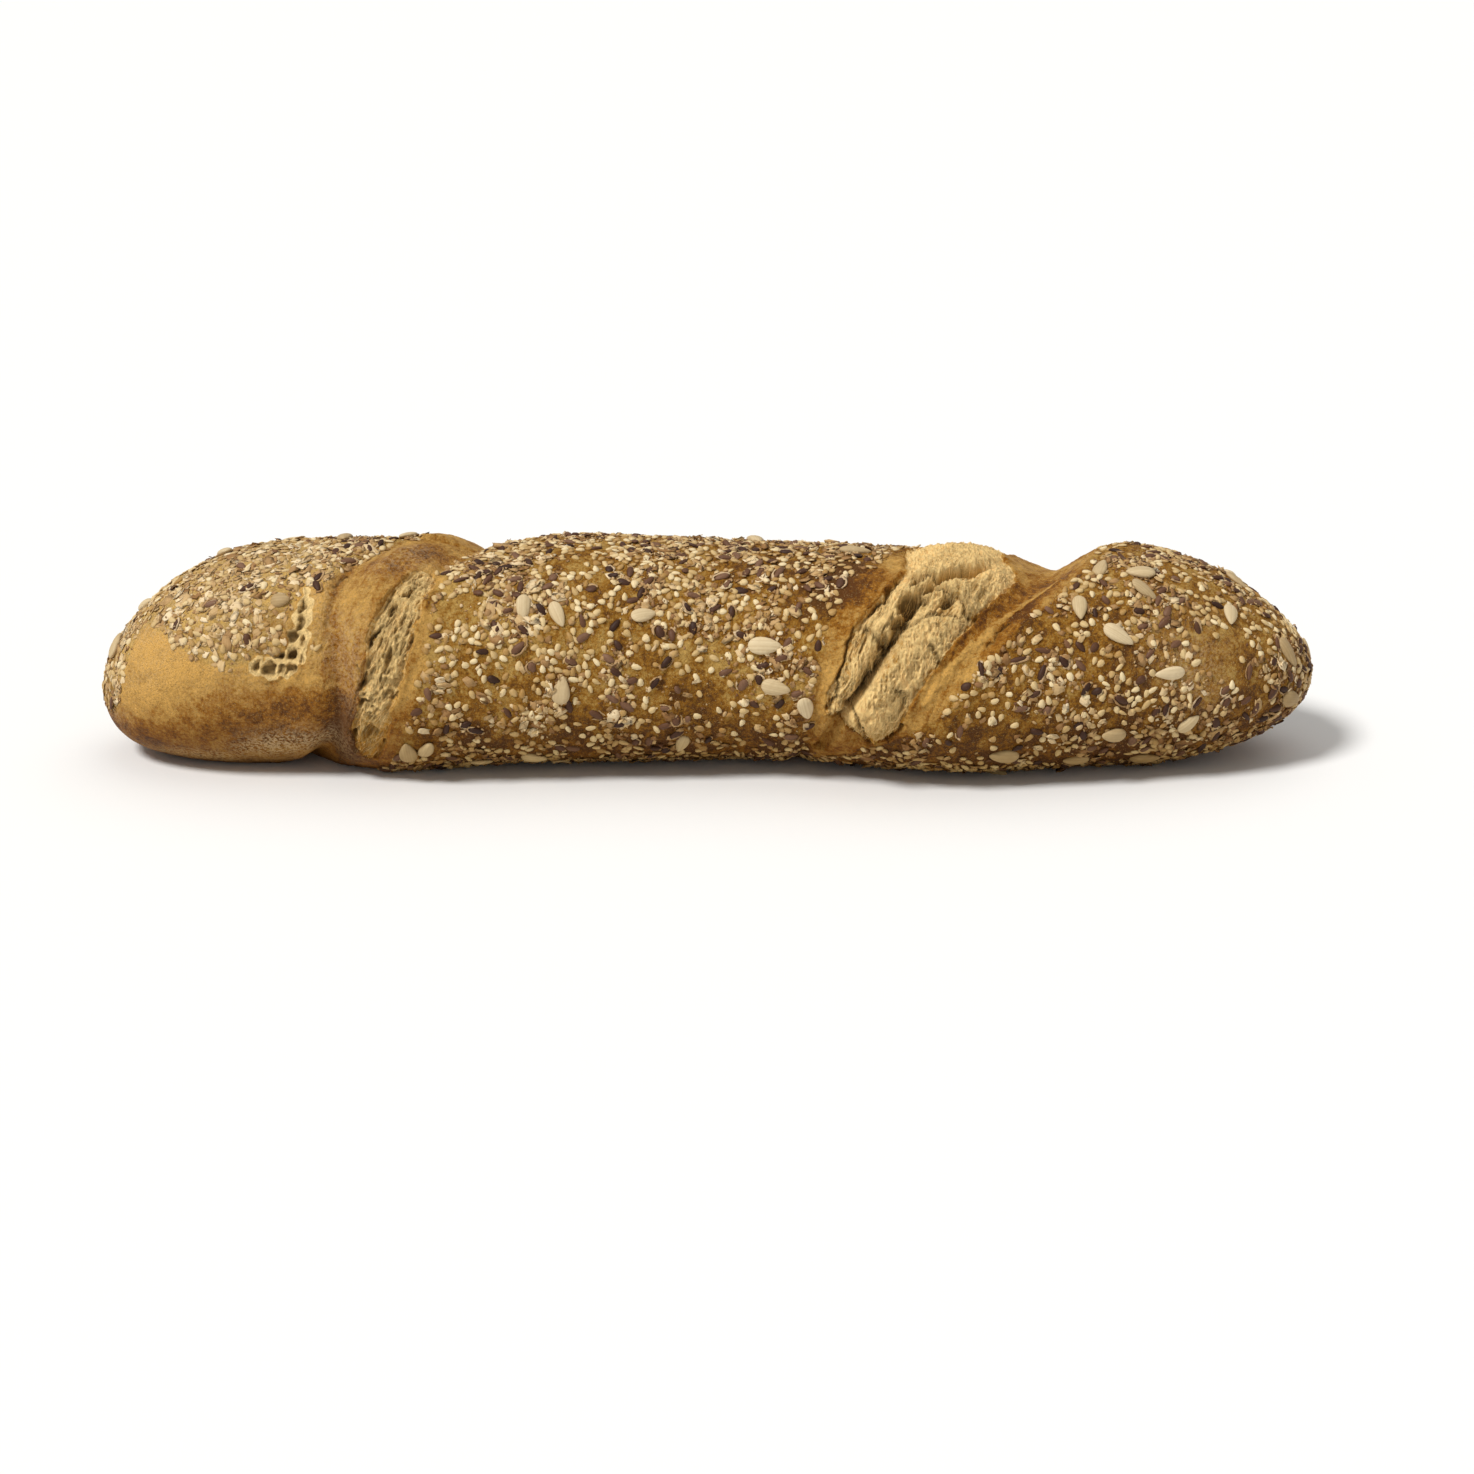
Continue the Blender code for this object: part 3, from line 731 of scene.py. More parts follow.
def wool(x, angle):
    """Height, painted shade in the crack and between the strands, and browning of the wide tear's stretched,
    woolly crumb.
    """
    run = angle * RUN
    off = x - curve(column(CRACK, 1), angle)
    warp = 1.3 * ripple(x / 6.0, run / 6.0, 61)
    lean = 0.3 * run
    fibre = threads((x - lean + warp) / 1.05, (run + warp) / 5.2, 62)
    nub = threads((x + warp) / 1.5, (run - warp) / 2.4, 64)
    fine = threads(x / 0.75, run / 1.3, 66)
    broad = ripple((x - 0.6 * run) / 3.2, (run + warp) / 6.5, 68)
    beside = smooth_step(2.0, -1.5, off) * smooth_step(70.0, 50.0, angle)
    pulled = smooth_step(30.0, 44.0, angle) * smooth_step(80.0, 62.0, angle)
    open_share = np.clip(np.maximum(beside, 0.85 * pulled), 0, 1)
    strand = open_share * fibre + (1 - open_share) * (0.6 * nub + 0.4 * fine)
    height = (1.5 + 1.1 * open_share) * (strand - 0.5) + 1.0 * (fine - 0.5) + 0.6 * broad
    gap = np.exp(-((off + 0.9 * ripple(run / 3.1, x / 40.0, 70)) / 1.2) ** 2)
    gap = gap * smooth_step(-30.0, -12.0, angle) * smooth_step(50.0, 36.0, angle)
    height = height - 2.4 * gap
    # Painted shade: dark colour in the crack and in the low places between the strands.
    hollow = np.clip(0.95 * gap + (0.8 + 0.8 * open_share) * (0.38 - strand), 0, 1)
    low = np.exp(-(((x - 48.0) / 8.0) ** 2) - ((angle + 16.0) / 11.0) ** 2)
    tips = 0.10 + 0.8 * (0.5 - strand) + 0.36 * ripple((x - 0.5 * run) / 4.3, run / 7.7, 72)
    tips = tips + 0.08 * smooth_step(20.0, 40.0, angle) * smooth_step(0.0, 6.0, off)
    under = smooth_step(-4.0, -26.0, angle)
    tips = tips * (1 - 0.4 * low) + 0.55 * under
    return height * (1 - 0.5 * low), hollow * (1 - 0.6 * low), np.clip(tips, 0, 1)


def pores(x, angle):
    """Height, painted shade on the cell floors, in the pits and between the threads, and browning of crumb
    that shows long open cells.
    """
    run = angle * RUN
    warp = 1.0 * ripple(x / 5.0, run / 6.0, 81)
    lean = 0.45 * run
    cells, own = cell_walls((x - lean + warp) / 1.7, (run + warp * 1.5) / 5.6, 83)
    small, other = cell_walls((x - lean) / 0.95, run / 2.4, 86)
    floor = smooth_step(0.03, 0.34, cells) * own
    pit = smooth_step(0.04, 0.4, small) * smooth_step(0.4, 0.9, other)
    thread = threads((x - lean) / 0.7, run / 4.5, 88)
    height = 0.4 - 1.1 * floor - 0.5 * pit + 0.6 * (thread - 0.5)
    # Painted shade: dark colour on the cell floors, in the pits and between the threads.
    hollow = np.clip(0.5 * floor + 0.35 * pit + 0.4 * (0.5 - thread), 0, 1)
    return height, hollow, 0.22 + 0.4 * (thread - 0.3) + 0.45 * smooth_step(0.0, -38.0, angle)


def smooth_crumb(x, angle):
    """Height, painted shade in the small pits, and browning of the soft crumb round the patch of open cells.
    """
    run = angle * RUN
    small, other = cell_walls(x / 1.4, run / 1.6, 93)
    pit = smooth_step(0.05, 0.4, small) * smooth_step(0.55, 0.95, other)
    # Painted shade: dark colour in the small pits.
    return -0.4 * pit, 0.4 * pit, 0.18 * np.ones_like(x)


def tube_places(x, angle):
    """Points on a plain tube as thick as the loaf, where noise in space is read."""
    turned = np.radians(angle)
    return np.stack([x, -np.cos(turned) * MEAN_RADIUS, np.sin(turned) * MEAN_RADIUS], axis=1)


def surface(x, angle):
    """Relief in millimetres, and the marks of the bake and of painted shade and highlight, for each place on
    the skin.
    """
    places = tube_places(x, angle)
    relief = sum(fold_height(table, x, angle) for table in FOLDS)
    relief = relief + sum(tear_depth(table, x, angle, bulge) for table, bulge in TEARS)
    relief = relief + sum(bubble_depth(bubble, x, angle) for bubble in BUBBLES)
    for size, height, seed in SWELLS:
        relief = relief + height * swell(places, size, seed)

    run = angle * RUN
    lean = x - 0.35 * run
    streak = ripple(lean / 0.9, run / 7.0, 21) + 0.8 * ripple(lean / 2.3, run / 12.0, 22)
    blister = swell(places, 2.6, 23)
    grain = swell(places, 1.2, 24)
    patch = swell(places, 9.0, 25)
    seeded = coat(x, angle)
    strip = np.maximum(in_band(LEFT_BAND, x, angle), in_band(RIGHT_BAND, x, angle))
    strip = smooth_step(-3.0, 3.0, strip)
    crust_relief = 0.16 * blister + 0.12 * grain + seeded * (0.25 * patch + 0.2 * blister)
    grooves = line_height(GROOVES, x, angle)
    relief = relief + grooves
    crust_relief = crust_relief + strip * 0.14 * streak

    turn = signed(angle)
    wide = smooth_step(-0.3, 0.5, inside_tear(WIDE_TEAR, x, angle))
    thin = np.maximum(inside_tear(SMALL_TEAR, x, angle), inside_tear(BACK_TEAR, x, angle))
    rim = np.maximum(thin, inside_tear(WIDE_TEAR, x, angle))
    thin = smooth_step(-0.3, 0.5, thin)
    bare = smooth_step(-0.6, 0.6, inside_cells(x, turn))
    crumb = np.maximum(np.maximum(wide, thin), bare)
    relief = relief + crust_relief * (1 - crumb)
    lifted = 0.5 + 0.5 * ripple(x / 6.0, run / 6.0, 27)
    relief = relief + 0.6 * lifted * np.exp(-(((rim + 1.0) / 1.0) ** 2)) * (1 - bare)
    hollow = np.zeros_like(x)
    tips = np.zeros_like(x)
    # Each kind of crumb gives its height, the painted shade in its recesses, and its browning.
    for share, kind in ((wide, wool), (thin, pores), (bare, smooth_crumb)):
        height, deep, brown = kind(x, turn)
        relief = relief + share * height
        hollow = np.maximum(hollow, share * deep)
        tips = np.maximum(tips, share * brown)
    flaps, under = flap_height(x, turn)
    cells, painted_shade = cell_depth(x, turn)
    lips = line_height(LIPS, x, turn)
    relief = relief + flaps + cells * crumb + lips
    # Painted shade: the crumb is darkened under the flap edges and inside the open cells, and raised lips are
    # kept clear of it.
    hollow = np.maximum(np.maximum(hollow, 0.75 * under), painted_shade * crumb)
    hollow = hollow * (1 - smooth_step(0.15, 0.6, lips))
    # Painted shade: the skin is darkened in the deeper grooves.
    hollow = np.maximum(hollow, 0.8 * smooth_step(0.4, 1.2, -grooves))

    # The last term browns the skin below the front: partly browner crust low on the loaf, partly painted
    # shade of the low sides.
    bake_and_painted_light = 0.36 + blots(BAKES, x, angle) + 0.14 * patch + 0.30 * smooth_step(12.0, -40.0, turn)
    bake_and_painted_light = bake_and_painted_light + seeded * smooth_step(-100.0, -84.0, x) * (0.25 + 0.12 * streak)
    bake_and_painted_light = bake_and_painted_light + strip * 0.10 * streak + line_height(BAKE_AND_SHADING_LINES, x, turn)
    bake_and_painted_light = bake_and_painted_light + 0.16 * lifted * np.exp(-(((rim + 0.8) / 0.7) ** 2)) * (1 - bare)
    tips = np.maximum(tips, 0.3 * smooth_step(0.3, 0.9, lips))
    tips = tips + 0.32 * np.exp(-((rim / 1.5) ** 2)) - 0.12 * smooth_step(40.0, 70.0, turn)
    bake_and_painted_light = np.where(crumb > 0.5, tips, bake_and_painted_light)
    flour = blots(DUSTINGS, x, angle) * (0.75 + 0.5 * patch)
    marks = {"crumb": crumb, "hollow": hollow, "bake_and_painted_light": bake_and_painted_light, "flour": flour, "coat": seeded}
    return relief, marks


def cap_share(x):
    """How much of the full section is left at x, from 0 at a tip to 1 past its cap."""
    from_left = np.clip((x + LENGTH / 2) / LEFT_CAP, 0, 1)
    from_right = np.clip((LENGTH / 2 - x) / RIGHT_CAP, 0, 1)
    left = np.sqrt(np.clip(1 - (1 - from_left) ** LEFT_CAP_POWER, 0, 1))
    return left * np.sqrt(np.clip(1 - (1 - from_right) ** RIGHT_CAP_POWER, 0, 1))


def along(share):
    """x at a share of the way from tip to tip, counted along the rounded outline."""
    left_arc = LEFT_CAP * math.pi / 2
    right_arc = RIGHT_CAP * math.pi / 2
    straight = LENGTH - LEFT_CAP - RIGHT_CAP
    run = share * (left_arc + straight + right_arc)
    left = LEFT_CAP * (1 - np.cos(np.clip(run, 0, left_arc) / LEFT_CAP))
    middle = np.clip(run - left_arc, 0, straight)
    right = RIGHT_CAP * np.sin(np.clip(run - left_arc - straight, 0, right_arc) / RIGHT_CAP)
    return left + middle + right - LENGTH / 2


def section_at(x):
    """Half height, half width, centre y and centre z of the loaf's section at x."""
    return [curve(column(SECTIONS, index), x) for index in (1, 2, 3, 4)]


def skin(x, angle, sink=0.0):
    """Points of the skin, in millimetres, and its marks, at places along and round the loaf."""
    half_height, half_width, centre_y, centre_z = section_at(x)
    radians = np.radians(angle)
    forward, up = -np.cos(radians), np.sin(radians)
    power = np.where(up < 0, BASE_POWER, SECTION_POWER)
    reach = (np.abs(forward / half_width) ** power + np.abs(up / half_height) ** power) ** (-1 / power)
    relief, marks = surface(x, angle)
    radius = cap_share(x) * (reach + relief - sink)
    height = np.maximum(centre_z + up * radius, sink)
    return np.stack([x + SETTLE[0], centre_y + forward * radius + SETTLE[1], height], axis=1), marks


def coat(x, angle):
    """How much of the seed coat lies at a place, from 0 on bare skin to 1."""
    turn = signed(angle)
    stray = 2.0 * ripple(x / 7.0, angle * RUN / 7.0, 11) + 1.2 * ripple(x / 2.5, angle * RUN / 2.5, 12)
    band = np.maximum(in_band(LEFT_BAND, x, angle), in_band(RIGHT_BAND, x, angle))
    bare = smooth_step(-1.0, 1.5, band + stray)
    below = (curve(SMOOTH_SIDE, x) - turn) * RUN
    smooth = smooth_step(-1.0, 1.5, below + stray) * (x < -104.0) * (turn > UNDERSIDE[0])
    smooth = np.maximum(smooth, smooth_step(-2.0, -0.5, inside_cells(x, turn)))
    under = smooth_step(-2.0, 3.0, (turn - UNDERSIDE[0]) * RUN + stray)
    under = under * smooth_step(-2.0, 3.0, (UNDERSIDE[1] - turn) * RUN + stray)
    return 1 - np.maximum(np.maximum(bare, smooth), under)


# Finely modelled patches over the bands: band, the margins left and right of it, the first and
# the last angle, and how many faces lie across and along the patch.
PATCHES = {
    "left_band": (LEFT_BAND, (18.0, 7.0), (-74.0, 150.0), 170, 360),
    "right_band": (RIGHT_BAND, (7.0, 7.0), (-70.0, 150.0), 236, 400),
    "back_band": (LEFT_BAND, (7.0, 7.0), (150.0, 255.0), 100, 170),
}
SKIN_AROUND = 232
SKIN_ALONG = 400
# How far a patch's edges, the crust under a patch and a patch's bottom lie below the skin.
TUCK = 0.6
ROOM_BELOW = 4.0
PATCH_DEPTH = 14.0
# How often places are drawn for seeds before giving up, and how near the floor a seed may come.
STREW_ROUNDS = 60
LEAST_HEIGHT = 0.05


def patch_edges(name):
    band, margins, _, _, _ = PATCHES[name]
    left = [(row[0], row[1] - margins[0]) for row in band]
    right = [(row[0], row[2] + margins[1]) for row in band]
    return left, right


def inside_patch(name, x, angle):
    """Millimetres inside a patch from its nearest edge, negative outside it."""
    left, right = patch_edges(name)
    first, last = PATCHES[name][2]
    depth = np.full(x.shape, FAR_OUTSIDE)
    for turn in turns_of(angle):
        near = np.minimum(x - curve(left, turn), curve(right, turn) - x)
        near = np.minimum(near, np.minimum(turn - first, last - turn) * RUN)
        depth = np.maximum(depth, near)
    return depth


def mesh_object(name, mesh, material):
    """The object of a finished piece, which stands for the loaf's node."""
    mesh.name = name
    piece = bpy.data.objects.new(name, mesh)
    bpy.context.scene.collection.objects.link(piece)
    mesh.materials.append(material)
    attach(piece, BODY)
    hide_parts(NODE)
    return piece


def mark(mesh, name, values):
    """Writes a number for each point of the mesh, which its material reads."""
    layer = mesh.attributes.new(name, "FLOAT", "POINT")
    layer.data.foreach_set("value", np.asarray(values, np.float32))


def shaped(mesh, points, marks):
    """Moves a mesh's points to these places, in millimetres, and marks them."""
    mesh.vertices.foreach_set("co", (points * MM).astype(np.float32).ravel())
    for name, values in marks.items():
        mark(mesh, name, values)
    mesh.update()
    mesh.shade_smooth()


def mesh_of(bm, name):
    mesh = bpy.data.meshes.new(name)
    bm.to_mesh(mesh)
    bm.free()
    return mesh


def mesh_of_rows(name, rows, faces):
    """A mesh of triangles whose corners are rows of millimetres."""
    mesh = bpy.data.meshes.new(name)
    mesh.vertices.add(len(rows))
    mesh.vertices.foreach_set("co", (rows * MM).astype(np.float32).ravel())
    mesh.loops.add(faces.size)
    mesh.loops.foreach_set("vertex_index", faces.astype(np.int32).ravel())
    mesh.polygons.add(len(faces))
    mesh.polygons.foreach_set("loop_start", np.arange(0, faces.size, 3, dtype=np.int32))
    mesh.update(calc_edges=True)
    return mesh


def points_of(mesh):
    flat = np.empty(len(mesh.vertices) * 3, np.float32)
    mesh.vertices.foreach_get("co", flat)
    return flat.reshape(-1, 3).astype(float)


def crust_mesh():
    """The whole skin as a ball drawn out to the loaf's form, sunk where a patch covers it."""
    bm = bmesh.new()
    bmesh.ops.create_uvsphere(bm, u_segments=SKIN_AROUND, v_segments=SKIN_ALONG, radius=1.0)
    mesh = mesh_of(bm, "crust")
    ball = points_of(mesh)
    x = along(np.arccos(np.clip(-ball[:, 2], -1, 1)) / math.pi)
    angle = np.degrees(np.arctan2(ball[:, 1], -ball[:, 0]))
    covered = np.max([inside_patch(name, x, angle) for name in PATCHES], axis=0)
    points, marks = skin(x, angle, ROOM_BELOW * smooth_step(1.0, 7.0, covered))
    shaped(mesh, points, marks)
    return mesh


def close_below(bm, across):
    """Closes a flat grid with walls down from its edges and one face a row across the bottom."""
    bm.verts.ensure_lookup_table()
    verts = list(bm.verts)
    rows = [verts[start : start + across + 1] for start in range(0, len(verts), across + 1)]
    deep = []
    for row in rows:
        deep.append([bm.verts.new((row[end].co.x, row[end].co.y, -0.5)) for end in (0, -1)])
    for row, (left, right), beyond, (far_left, far_right) in zip(rows, deep, rows[1:], deep[1:]):
        bm.faces.new((row[0], left, far_left, beyond[0]))
        bm.faces.new((row[-1], beyond[-1], far_right, right))
        bm.faces.new((left, right, far_right, far_left))
    half = across // 2
    for row, (left, right) in ((rows[0], deep[0]), (rows[-1], deep[-1])):
        for step in range(across):
            bm.faces.new((row[step], row[step + 1], left if step < half else right))
        bm.faces.new((left, row[half], right))
    bm.normal_update()
    bmesh.ops.recalc_face_normals(bm, faces=bm.faces)


def patch_mesh(name):
    """A fine slab of skin over one band, with its edges tucked under the crust."""
    _, _, (first, last), across, steps = PATCHES[name]
    bm = bmesh.new()
    bmesh.ops.create_grid(bm, x_segments=across, y_segments=steps, size=0.5)
    close_below(bm, across)
    mesh = mesh_of(bm, name)
    sheet = points_of(mesh)
    angle = first + (sheet[:, 1] + 0.5) * (last - first)
    left, right = patch_edges(name)
    start = curve(left, angle)
    x = start + (sheet[:, 0] + 0.5) * (curve(right, angle) - start)
    tuck = TUCK * (1 - smooth_step(0.0, 1.4, inside_patch(name, x, angle)))
    points, marks = skin(x, angle, np.where(sheet[:, 2] < 0, PATCH_DEPTH, tuck))
    shaped(mesh, points, marks)
    return mesh


def seats(x, angle, turn, tilt, rng):
    """Points and matrices that lay small things on the skin with their long way at a turn."""
    step = 0.6
    around = step / RUN
    near = [
        skin(np.asarray(x) + right * step, np.asarray(angle) + up * around)[0]
        for right, up in ((0, 0), (1, 0), (-1, 0), (0, 1), (0, -1))
    ]
    lengthwise = near[1] - near[2]
    upward = near[3] - near[4]
    normal = np.cross(lengthwise, upward)
    normal /= np.linalg.norm(normal, axis=1, keepdims=True)
    normal += rng.normal(0.0, tilt, normal.shape)
    normal /= np.linalg.norm(normal, axis=1, keepdims=True)
    radians = np.radians(turn)[:, None]
    lengthwise /= np.linalg.norm(lengthwise, axis=1, keepdims=True)
    upward = np.cross(normal, lengthwise)
    upward /= np.linalg.norm(upward, axis=1, keepdims=True)
    lengthwise = np.cross(upward, normal)
    long_way = lengthwise * np.cos(radians) + upward * np.sin(radians)
    across = np.cross(normal, long_way)
    return near[0], np.stack([long_way, across, normal], axis=2)


def copies(name, shapes, points, turns, sizes, tints):
    """One mesh of many copies of the shapes, each at its own point, turn and size."""
    rows = []
    faces = []
    tint_rows = []
    across_rows = []
    count = 0
    for index, (corners, triangles) in enumerate(shapes):
        chosen = np.arange(index, len(points), len(shapes))
        local = corners[None, :, :] * sizes[chosen][:, None, :]
        placed = np.einsum("nij,nkj->nki", turns[chosen], local) + points[chosen][:, None, :]
        placed[:, :, 2] = np.maximum(placed[:, :, 2], LEAST_HEIGHT)
        rows.append(placed.reshape(-1, 3))
        shift = count + np.arange(len(chosen)) * len(corners)
        faces.append((triangles[None, :, :] + shift[:, None, None]).reshape(-1, 3))
        tint_rows.append(np.repeat(tints[chosen], len(corners)))
        across_rows.append((corners[None, :, 1] + 40.0 * tints[chosen][:, None]).ravel())
        count += len(chosen) * len(corners)
    mesh = mesh_of_rows(name, np.concatenate(rows), np.concatenate(faces))
    mark(mesh, "tint", np.concatenate(tint_rows))
    mark(mesh, "across", np.concatenate(across_rows))
    return mesh


def shape_of(bm):
    """The corners and triangles of a small shape, which is then let go."""
    bm.normal_update()
    bmesh.ops.recalc_face_normals(bm, faces=bm.faces)
    if bm.calc_volume(signed=True) < 0:
        bmesh.ops.reverse_faces(bm, faces=bm.faces)
    bmesh.ops.triangulate(bm, faces=bm.faces)
    bm.verts.index_update()
    corners = np.array([vert.co[:] for vert in bm.verts])
    triangles = np.array([[vert.index for vert in face.verts] for face in bm.faces])
    bm.free()
    return corners, triangles


def seed_shape(sides, rings, taper, point, lift):
    """A flattened seed of unit size, with its narrow tip at +X."""
    bm = bmesh.new()
    bmesh.ops.create_uvsphere(bm, u_segments=sides, v_segments=rings, radius=0.5)
    for vert in bm.verts:
        side, flat, way = vert.co
        narrow = (1.0 - taper * way) * (1.0 - point * max(way, 0.0) ** 2)
        vert.co = (way, side * narrow, flat * (1.0 - 0.4 * taper * way) + lift)
    return shape_of(bm)


def flake_shape(rng, across, steps, curl, ragged):
    """A thin curled flake of unit size with ragged edges."""
    bm = bmesh.new()
    bmesh.ops.create_grid(bm, x_segments=steps, y_segments=across, size=0.5)
    made = bmesh.ops.extrude_face_region(bm, geom=bm.faces[:])
    upper = {item for item in made["geom"] if isinstance(item, bmesh.types.BMVert)}
    bend = rng.uniform(-curl, curl, 3)
    for vert in bm.verts:
        x, y, _ = vert.co
        edge = 1.0 - 0.35 * (abs(x) * 2) ** 3
        wave = bend[0] * (x * x * 4 - 0.3) + bend[1] * (y * y * 4 - 0.3) + bend[2] * x * y * 4
        vert.co = (x, y * edge, wave + (0.5 if vert in upper else -0.5))
    noise = rng.uniform(-ragged, ragged, (len(bm.verts), 3))
    for vert, push in zip(bm.verts, noise):
        vert.co += Vector(push * (1.0, 1.0, 1.6))
    return shape_of(bm)


def chip_shape(rng, ragged):
    """A small angular crumb of unit size."""
    bm = bmesh.new()
    bmesh.ops.create_icosphere(bm, subdivisions=1, radius=0.5)
    for vert in bm.verts:
        vert.co += Vector(rng.uniform(-ragged, ragged, 3))
    return shape_of(bm)


def husk_shape(rng, steps):
    """A ragged piece of husk that curls part of the way round a seed, of unit size."""
    bm = bmesh.new()
    bmesh.ops.create_circle(bm, segments=4, radius=0.09)
    bmesh.ops.rotate(bm, verts=bm.verts, matrix=Matrix.Rotation(math.pi / 2, 3, "X"))
    bmesh.ops.translate(bm, verts=bm.verts, vec=(0.5, 0.0, 0.0))
    way = rng.uniform(2.2, 4.6)
    bmesh.ops.spin(bm, geom=bm.edges[:], axis=(0, 0, 1), cent=(0, 0, 0), angle=way, steps=steps)
    bmesh.ops.holes_fill(bm, edges=bm.edges)
    turn = rng.uniform(0.0, math.tau)
    bmesh.ops.rotate(bm, verts=bm.verts, matrix=Matrix.Rotation(turn, 3, "Z"))
    for vert in bm.verts:
        vert.co += Vector(rng.uniform(-0.1, 0.1, 3))
    return shape_of(bm)


class Ground:
    """The places already taken on the skin, in cells, so that new ones keep their distance."""

    def __init__(self, cell):
        self.cell = cell
        self.taken = {}

    def key(self, point):
        return tuple(int(value // self.cell) for value in point)

    def free(self, point, spacing):
        middle = self.key(point)
        for offset in np.ndindex(3, 3, 3):
            cell = tuple(m + o - 1 for m, o in zip(middle, offset))
            for other, reach in self.taken.get(cell, ()):
                if math.dist(point, other) < max(spacing, reach):
                    return False
        return True

    def take(self, point, reach):
        self.taken.setdefault(self.key(point), []).append((point, reach))


def base_point(x, angle):
    """A quick point of the skin without its relief, good enough to keep seeds apart."""
    half_height, half_width, centre_y, centre_z = section_at(x)
    share = cap_share(x)
    forward, up = -np.cos(np.radians(angle)), np.sin(np.radians(angle))
    return np.stack([x, centre_y + forward * half_width * share, centre_z + up * half_height * share], axis=1)


def strewn(rng, ground, count, spacing, reach, wanted):
    """Random places on the skin, as thick as wanted says, that keep clear of what is there."""
    chosen = []
    for _ in range(STREW_ROUNDS):
        x = along(rng.random(count))
        angle = rng.uniform(-180.0, 180.0, count)
        keep = rng.random(count) < wanted(x, angle) * cap_share(x)
        x, angle = x[keep], angle[keep]
        for place_x, place_angle, point in zip(x, angle, base_point(x, angle).tolist()):
            if ground.free(point, spacing):
                ground.take(point, reach)
                chosen.append((place_x, place_angle))
                if len(chosen) == count:
                    return np.array(chosen).T
    return np.array(chosen).T


def clusters(x, angle, size, seed):
    """Noise from 0 to 1 over the skin, so that seeds lie thick here and thin there."""
    return np.clip(0.5 + swell(tube_places(x, angle), size, seed), 0, 1)


def sparse(x, angle):
    """The coat is thinner low on the sides and on the right of the loaf."""
    low = 0.55 + 0.45 * smooth_step(-45.0, 55.0, signed(angle))
    low = low * (1.0 - 0.3 * smooth_step(80.0, 110.0, x)) * (1.0 - blots(THIN_COAT, x, angle))
    return coat(x, angle) * np.clip(low, 0.0, 1.0)


def on_left(x):
    return smooth_step(-108.0, -122.0, x)


def sesame_thickness(x, angle):
    return sparse(x, angle) * (1 - 0.6 * on_left(x)) * (0.10 + 0.90 * clusters(x, angle, 8.0, 31) ** 1.5)


def linseed_thickness(x, angle):
    return sparse(x, angle) * (1 - 0.86 * on_left(x)) * (0.12 + 0.88 * clusters(x, angle, 9.0, 33) ** 1.5)


def flake_thickness(x, angle):
    return sparse(x, angle) * (0.10 + 0.62 * on_left(x) + 1.3 * clusters(x, angle, 9.0, 33) ** 2.2)


def chip_thickness(x, angle):
    edge = np.exp(-(((np.abs(signed(angle) + 90.0) - 36.0) / 9.0) ** 2))
    return sparse(x, angle) * (0.06 + 0.9 * clusters(x, angle, 9.0, 33) ** 2.5 + 0.5 * edge)


def hidden_coat(x, angle):
    turn = signed(angle)
    return coat(x, angle) * ((turn > 92.0) | (turn < -58.0))


@functools.cache
def planted(kernel_count, linseed_count, sesame_count):
    """Where the kernels, the linseeds and the sesame lie, the largest placed first."""
    rng = np.random.default_rng(11)
    ground = Ground(8.0)
    x, angle, _ = np.array(KERNELS).T
    for point in base_point(x, angle).tolist():
        ground.take(point, 4.6)
    more_x, more_angle = strewn(rng, ground, kernel_count - len(KERNELS), 16.0, 4.6, hidden_coat)
    turns = np.concatenate([np.array(KERNELS)[:, 2], rng.uniform(0, 360, len(more_x))])
    kernels = np.concatenate([x, more_x]), np.concatenate([angle, more_angle]), turns
    linseeds = strewn(rng, ground, linseed_count, 3.3, 2.2, linseed_thickness)
    sesame = strewn(rng, ground, sesame_count, 1.7, 1.5, sesame_thickness)
    return kernels, linseeds, sesame


def uneven(rng, count, size, spread):
    """Sizes in millimetres that vary from one copy to the next."""
    return np.array(size) * rng.normal(1.0, spread, (count, 3)).clip(0.6, 1.5)


# The camera of the photograph: its place in metres, its lens in millimetres and its pitch down.
CAMERA_PLACE = (0.0091, -0.955, 0.352)
CAMERA_LENS = 77.91
CAMERA_PITCH = 20.0
# Suns over the loaf: name, place, angle across in degrees and strength.
SUNS = [("key", (-0.55, -0.42, 0.95), 16.0, 2.75), ("top", (0.25, 0.35, 1.0), 60.0, 0.5)]


